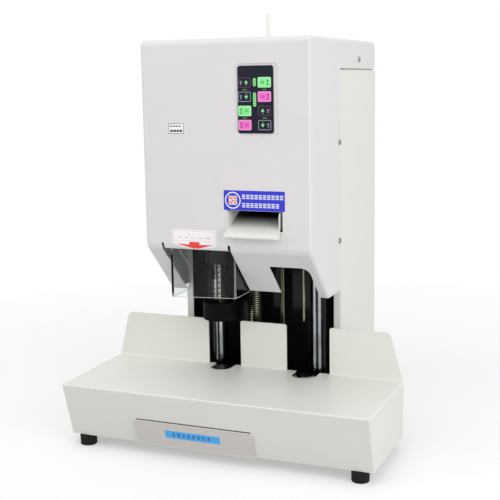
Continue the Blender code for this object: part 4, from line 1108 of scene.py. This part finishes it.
def round_the_fold(arc, stand_off):
    """A point of the outline; arc is the distance down from where the fold begins."""
    radius = FOLD_RADIUS + stand_off
    if arc <= 0:
        return (HEAD_FRONT - stand_off, FOLD_CENTRE[1] - arc)
    turn = min(arc / FOLD_RADIUS, math.radians(45))
    left = arc - turn * FOLD_RADIUS
    depth = FOLD_CENTRE[0] - radius * math.cos(turn) + left * math.cos(math.radians(45))
    return (depth, FOLD_CENTRE[1] - radius * math.sin(turn) - left * math.sin(math.radians(45)))


def fold_print(outline, base, thick):
    """Bend a flat outline of (x, distance down) points round the fold, as a thin film."""
    bm = prism([(x, -arc) for x, arc in outline], "depth", 0, thick)
    for i in range(9):
        everything = bm.verts[:] + bm.edges[:] + bm.faces[:]
        bmesh.ops.bisect_plane(bm, geom=everything, plane_co=(0, 0, -1.2 * i * MM), plane_no=(0, 0, 1))
    for v in bm.verts:
        stand_off = base + v.co.y / MM + MID_DEPTH
        v.co = place(v.co.x / MM, *round_the_fold(-v.co.z / MM, stand_off))
    bmesh.ops.recalc_face_normals(bm, faces=bm.faces[:])
    return bm


# %% Film, frame and arrow
outline = [(-76, -17.6), (-13.5, -17.6), (-13.5, 3.6), (-43.2, 8.6), (-70, 3.4), (-76, -0.3)]
printed("white_film", "white", "machine", fold_print(outline, 0.0, 0.12))
thin = [fold_print(rectangle(*sides), 0.12, 0.04) for sides in (
    (-74.3, -15.2, -15.9, -15.4), (-74.3, -15.2, -3.4, -3.0), (-74.3, -73.9, -15.4, -3.4),
    (-15.6, -15.2, -15.4, -3.4))]
thin += [fold_print(rectangle(x, x + wide, -8.2, -6.6), 0.12, 0.04)
         for x, wide in ((-68, 6.5), (-58.5, 4), (-49, 2), (-45.5, 1), (-42.5, 2.4), (-37.5, 5), (-30, 9))]
thin += [fold_print(rectangle(x, x + 1.8, -13.2, -9.9), 0.12, 0.04) for x in (-52.3, -39.9)]
printed("white_film_lines", "rose", "machine", *thin)
outline = [(-70.2, 0.9), (-51.7, 1.7), (-51.7, -1.9), (-37.2, -1.9), (-37.2, 1.7), (-17.2, 1.0),
           (-40.5, 7.1), (-46.5, 7.1)]
printed("white_film_arrow", "red", "machine", fold_print(outline, 0.12, 0.05))
print("fold film made")


# %% [markdown]
# ## Screws
# Pan-head screws hold the head's cover, the rear sheet and the bottom. One head is turned
# and its cross recess is cut; its mesh is then copied to each place and turned to face out.

# %% One screw head
def screw_head(radius):
    h = radius * 0.55
    profile = [(0, 0), (radius, 0), (radius, h * 0.2), (radius * 0.93, h * 0.5), (radius * 0.72, h * 0.82),
               (radius * 0.4, h * 0.97), (0, h)]
    item = shape("screw_head", turned((0, MID_DEPTH), profile, steps=28))
    for turn in (0, 90):
        slot = block((-radius * 0.6, radius * 0.6), (MID_DEPTH - radius * 0.12, MID_DEPTH + radius * 0.12),
                     (h * 0.35, h + 1))
        bmesh.ops.rotate(slot, verts=slot.verts[:], cent=(0, 0, 0),
                         matrix=Matrix.Rotation(math.radians(turn), 3, "Z"))
        carve(item, slot)
    graph = bpy.context.evaluated_depsgraph_get()
    mesh = bpy.data.meshes.new_from_object(item.evaluated_get(graph), depsgraph=graph)
    for tool in [step.object for step in item.modifiers] + [item]:
        bpy.data.objects.remove(tool, do_unlink=True)
    return mesh


# %% Screws in their places
def screws(name, slot, body, facing, spots, radius=3.0):
    head, heads = screw_head(radius), []
    turn = Vector(facing).to_track_quat("Z", "Y").to_matrix().to_4x4()
    for i, spot in enumerate(spots):
        bm = bmesh.new()
        bm.from_mesh(head)
        twist = Matrix.Rotation(math.radians(37 * i + 12), 4, "Z")
        bmesh.ops.transform(bm, matrix=Matrix.Translation(place(*spot)) @ turn @ twist, verts=bm.verts[:])
        heads.append(bm)
    bpy.data.meshes.remove(head)
    return settle(shape(name, gather(*heads)), LOOKS[slot], body=body, slot=slot)


side_spots = [(275, 506), (185.5, 398), (185.5, 267)]
for name, x in (("right", HEAD_HALF), ("left", -HEAD_HALF)):
    screws(f"cover_screws_{name}", "machined_steel", "machine", (math.copysign(1, x), 0, 0),
           [(x, depth, height) for depth, height in side_spots], 4.0)
screws("rear_screws", "zinc", "machine", (0, 1, 0),
       [(x, 361.8, height) for x in (-90, 90) for height in (70, 272, 474)])
screws("bottom_screws", "zinc", "machine", (0, 0, -1),
       [(x, depth, BASE_BOTTOM) for x, depth in ((-198, 90), (198, 90), (-60, 45), (60, 45), (-100, 250),
                                                 (100, 250), (-100, 175), (100, 175))])
screws("feet_screws", "zinc", "machine", (0, 0, -1), [(*spot, 4.0) for spot in FOOT_SPOTS.values()], 2.6)
screws("carriage_screws_left", "machined_steel", "drill_carriage", (0, 0, 1),
       [(x, depth, 305) for x, depth in ((-73, 198), (-73, 172), (6, 199), (-24, 198))])
screws("carriage_screws_right", "machined_steel", "press_carriage", (0, 0, 1),
       [(x, depth, 330) for x, depth in ((46, 200), (60, 172), (92, 138), (66, 136))])
print("screws made")

# %% [markdown]
# ## Drawer label and switch marks
# The drawer's front leans, so its label is pushed from a strip square to the lean. The
# rocker has the usual ring and bar, and the inlet's three pins get brass sleeves.

# %% On the leaning front
LEAN = math.hypot(FRONT_LEAN, TABLE_TOP - BASE_BOTTOM)


def on_the_lean(height, stand_off):
    """Depth and height of a point that stands off the leaning front face."""
    rise = TABLE_TOP - BASE_BOTTOM
    depth = FRONT_LEAN * (TABLE_TOP - height) / rise - stand_off * rise / LEAN
    return (depth, height - stand_off * FRONT_LEAN / LEAN)


def lean_bar(x0, x1, low, high, base, thick):
    corners = [(low, base), (high, base), (high, base + thick), (low, base + thick)]
    return prism([on_the_lean(*corner) for corner in corners], "x", x0, x1)


printed("drawer_label", "sky", "chip_drawer", lean_bar(-65.5, 11.5, 28.6, 39.4, 2.0, 0.15))
marks = [lean_bar(x, x + 3.6, low, low + 1.1, 2.15, 0.05) for x in range(-55, 0, 7)
         for low in (31.6, 33.5, 35.4)]
printed("drawer_label_marks", "navy", "chip_drawer", *marks)
print("drawer label made")


# %% Ring and bar on the rocker, sleeves on the pins
def on_the_rocker(bm, half):
    """Move a flat mark from the origin on to the rocker's upper (1) or lower (-1) half."""
    lean = math.atan2(1.6, 8.2)
    matrix = (Matrix.Translation(place(SWITCH_X, *SWITCH_PIVOT))
              @ Matrix.Rotation(math.radians(SWITCH_TILT), 4, "X")
              @ Matrix.Translation((0, 4.6 * MM, half * 4.1 * MM)) @ Matrix.Rotation(-half * lean, 4, "X"))
    bmesh.ops.transform(bm, matrix=matrix, verts=bm.verts[:])
    return bm


low, high = MID_DEPTH - 0.02, MID_DEPTH + 0.05
mark = prism(rectangle(-0.45, 0.45, -2.1, 2.1), "depth", low, high)
circle = turned((0, 0), [(1.5, low), (2.2, low), (2.2, high), (1.5, high)], "depth", 32)
printed("rocker_marks", "white", "rocker_switch", on_the_rocker(mark, 1), on_the_rocker(circle, -1))
sleeves = [prism(rectangle(x - 1.2, x + 1.2, height - 2.2, height + 2.2), "depth", 346, 358.2, [0.4] * 4, 2)
           for x, height in ((57, 36), (70, 36), (63.5, 41))]
settle(shape("inlet_sleeves", gather(*sleeves)), LOOKS["pale_brass"], body="machine")
print("rear marks made")


# %% [markdown]
# ## Finishing what stays as it is
# Every solid that wasn't replaced still has the plain material of the frame. Each gets the
# finish that the record names for it, so nothing inside is left grey.

# %% Remaining solids
for node, item in frame["nodes"].items():
    if item.hide_render:
        continue
    item.data.materials.clear()
    item.data.materials.append(LOOKS[SLOT_OF[node]])
    print("kept as it is:", node)

# %% [markdown]
# ## Floor, background and light
# A product photograph has a white sweep and soft light from all round. The floor is pale and
# keeps the machine's soft shadow; a share of plain white is added for what the camera sees
# directly, and it grows with the distance, so that the floor meets the white background
# without a line. The lamps are large and weak, so that a colour shows as it was written.

# %% What the camera, metal and glass see directly
def seen_directly(tree):
    rays = add(tree, "ShaderNodeLightPath").outputs
    seen = rays["Is Camera Ray"]
    for kind in ("Is Glossy Ray", "Is Transmission Ray"):
        seen = add(tree, "ShaderNodeMath", {0: seen, 1: rays[kind]}, operation="MAXIMUM").outputs["Value"]
    return seen


# %% The floor
bm = bmesh.new()
bmesh.ops.create_grid(bm, x_segments=1, y_segments=1, size=6.0)
floor = shape("floor", bm)

material = bpy.data.materials.new("pale_floor")
material.use_nodes = True
tree = material.node_tree
tree.nodes.clear()
where = add(tree, "ShaderNodeTexCoord").outputs["Object"]
far = add(tree, "ShaderNodeVectorMath", {0: where}, operation="LENGTH").outputs["Value"]
far = scaled(tree, far, 0.45, 1.1, 0.0, 1.0)
seen = seen_directly(tree)
pale = add(tree, "ShaderNodeBsdfDiffuse", {"Color": (0.6, 0.6, 0.6, 1.0)})
lift_up = add(tree, "ShaderNodeEmission", {"Color": (1.0, 1.0, 1.0, 1.0),
                                           "Strength": product(tree, seen, 0.36)})
near_floor = add(tree, "ShaderNodeAddShader", {0: pale.outputs[0], 1: lift_up.outputs[0]})
white = add(tree, "ShaderNodeEmission", {"Color": (1.0, 1.0, 1.0, 1.0), "Strength": 1.0})
blend = add(tree, "ShaderNodeMixShader", {0: product(tree, seen, far), 1: near_floor.outputs[0],
                                          2: white.outputs[0]})
add(tree, "ShaderNodeOutputMaterial", {"Surface": blend.outputs[0]})
floor.data.materials.append(material)

# %% The world
world = bpy.data.worlds.new("studio")
bpy.context.scene.world = world
world.use_nodes = True
tree = world.node_tree
tree.nodes.clear()
seen = seen_directly(tree)
soft = add(tree, "ShaderNodeBackground", {"Color": (1.0, 1.0, 1.0, 1.0), "Strength": 0.74})
white = add(tree, "ShaderNodeBackground", {"Color": (1.0, 1.0, 1.0, 1.0), "Strength": 1.0})
blend = add(tree, "ShaderNodeMixShader", {0: seen, 1: soft.outputs[0], 2: white.outputs[0]})
add(tree, "ShaderNodeOutputWorld", {"Surface": blend.outputs[0]})


# %% The lamps
def softbox(name, spot, watts, size):
    lamp = bpy.data.lights.new(name, "AREA")
    lamp.energy = watts
    lamp.size = size
    item = bpy.data.objects.new(name, lamp)
    item.location = spot
    item.rotation_euler = (Vector((0, 0, 0.28)) - Vector(spot)).to_track_quat("-Z", "Y").to_euler()
    bpy.context.scene.collection.objects.link(item)


softbox("right_softbox", (1.7, -0.9, 0.7), 12.0, 1.2)
softbox("high_softbox", (1.4, -1.4, 1.5), 4.0, 1.4)
softbox("left_softbox", (-1.7, -1.5, 1.0), 8.0, 1.2)
softbox("top_softbox", (-0.2, -0.4, 2.3), 9.0, 1.6)

# %% [markdown]
# ## The camera
# The camera stands where the photograph was taken from: a little above the machine, to the
# right of its middle and turned towards it, with a long lens.

# %% Camera
YAW, PITCH, ROLL = (math.radians(a) for a in (22.55, 9.58, -0.93))
forward = Vector((-math.sin(YAW) * math.cos(PITCH), math.cos(YAW) * math.cos(PITCH), -math.sin(PITCH)))
right = Vector((math.cos(YAW), math.sin(YAW), 0))
up = right.cross(forward)
x_axis = math.cos(ROLL) * right + math.sin(ROLL) * up
y_axis = -math.sin(ROLL) * right + math.cos(ROLL) * up
lens = bpy.data.cameras.new("camera")
lens.sensor_width = 36.0
lens.lens = 72.94
camera = bpy.data.objects.new("camera", lens)
camera.matrix_world = Matrix((
    (x_axis.x, y_axis.x, -forward.x, 0.5166), (x_axis.y, y_axis.y, -forward.y, -1.2757),
    (x_axis.z, y_axis.z, -forward.z, 0.4817), (0, 0, 0, 1)))
bpy.context.scene.collection.objects.link(camera)
bpy.context.scene.camera = camera
bpy.context.scene.view_settings.view_transform = "Standard"
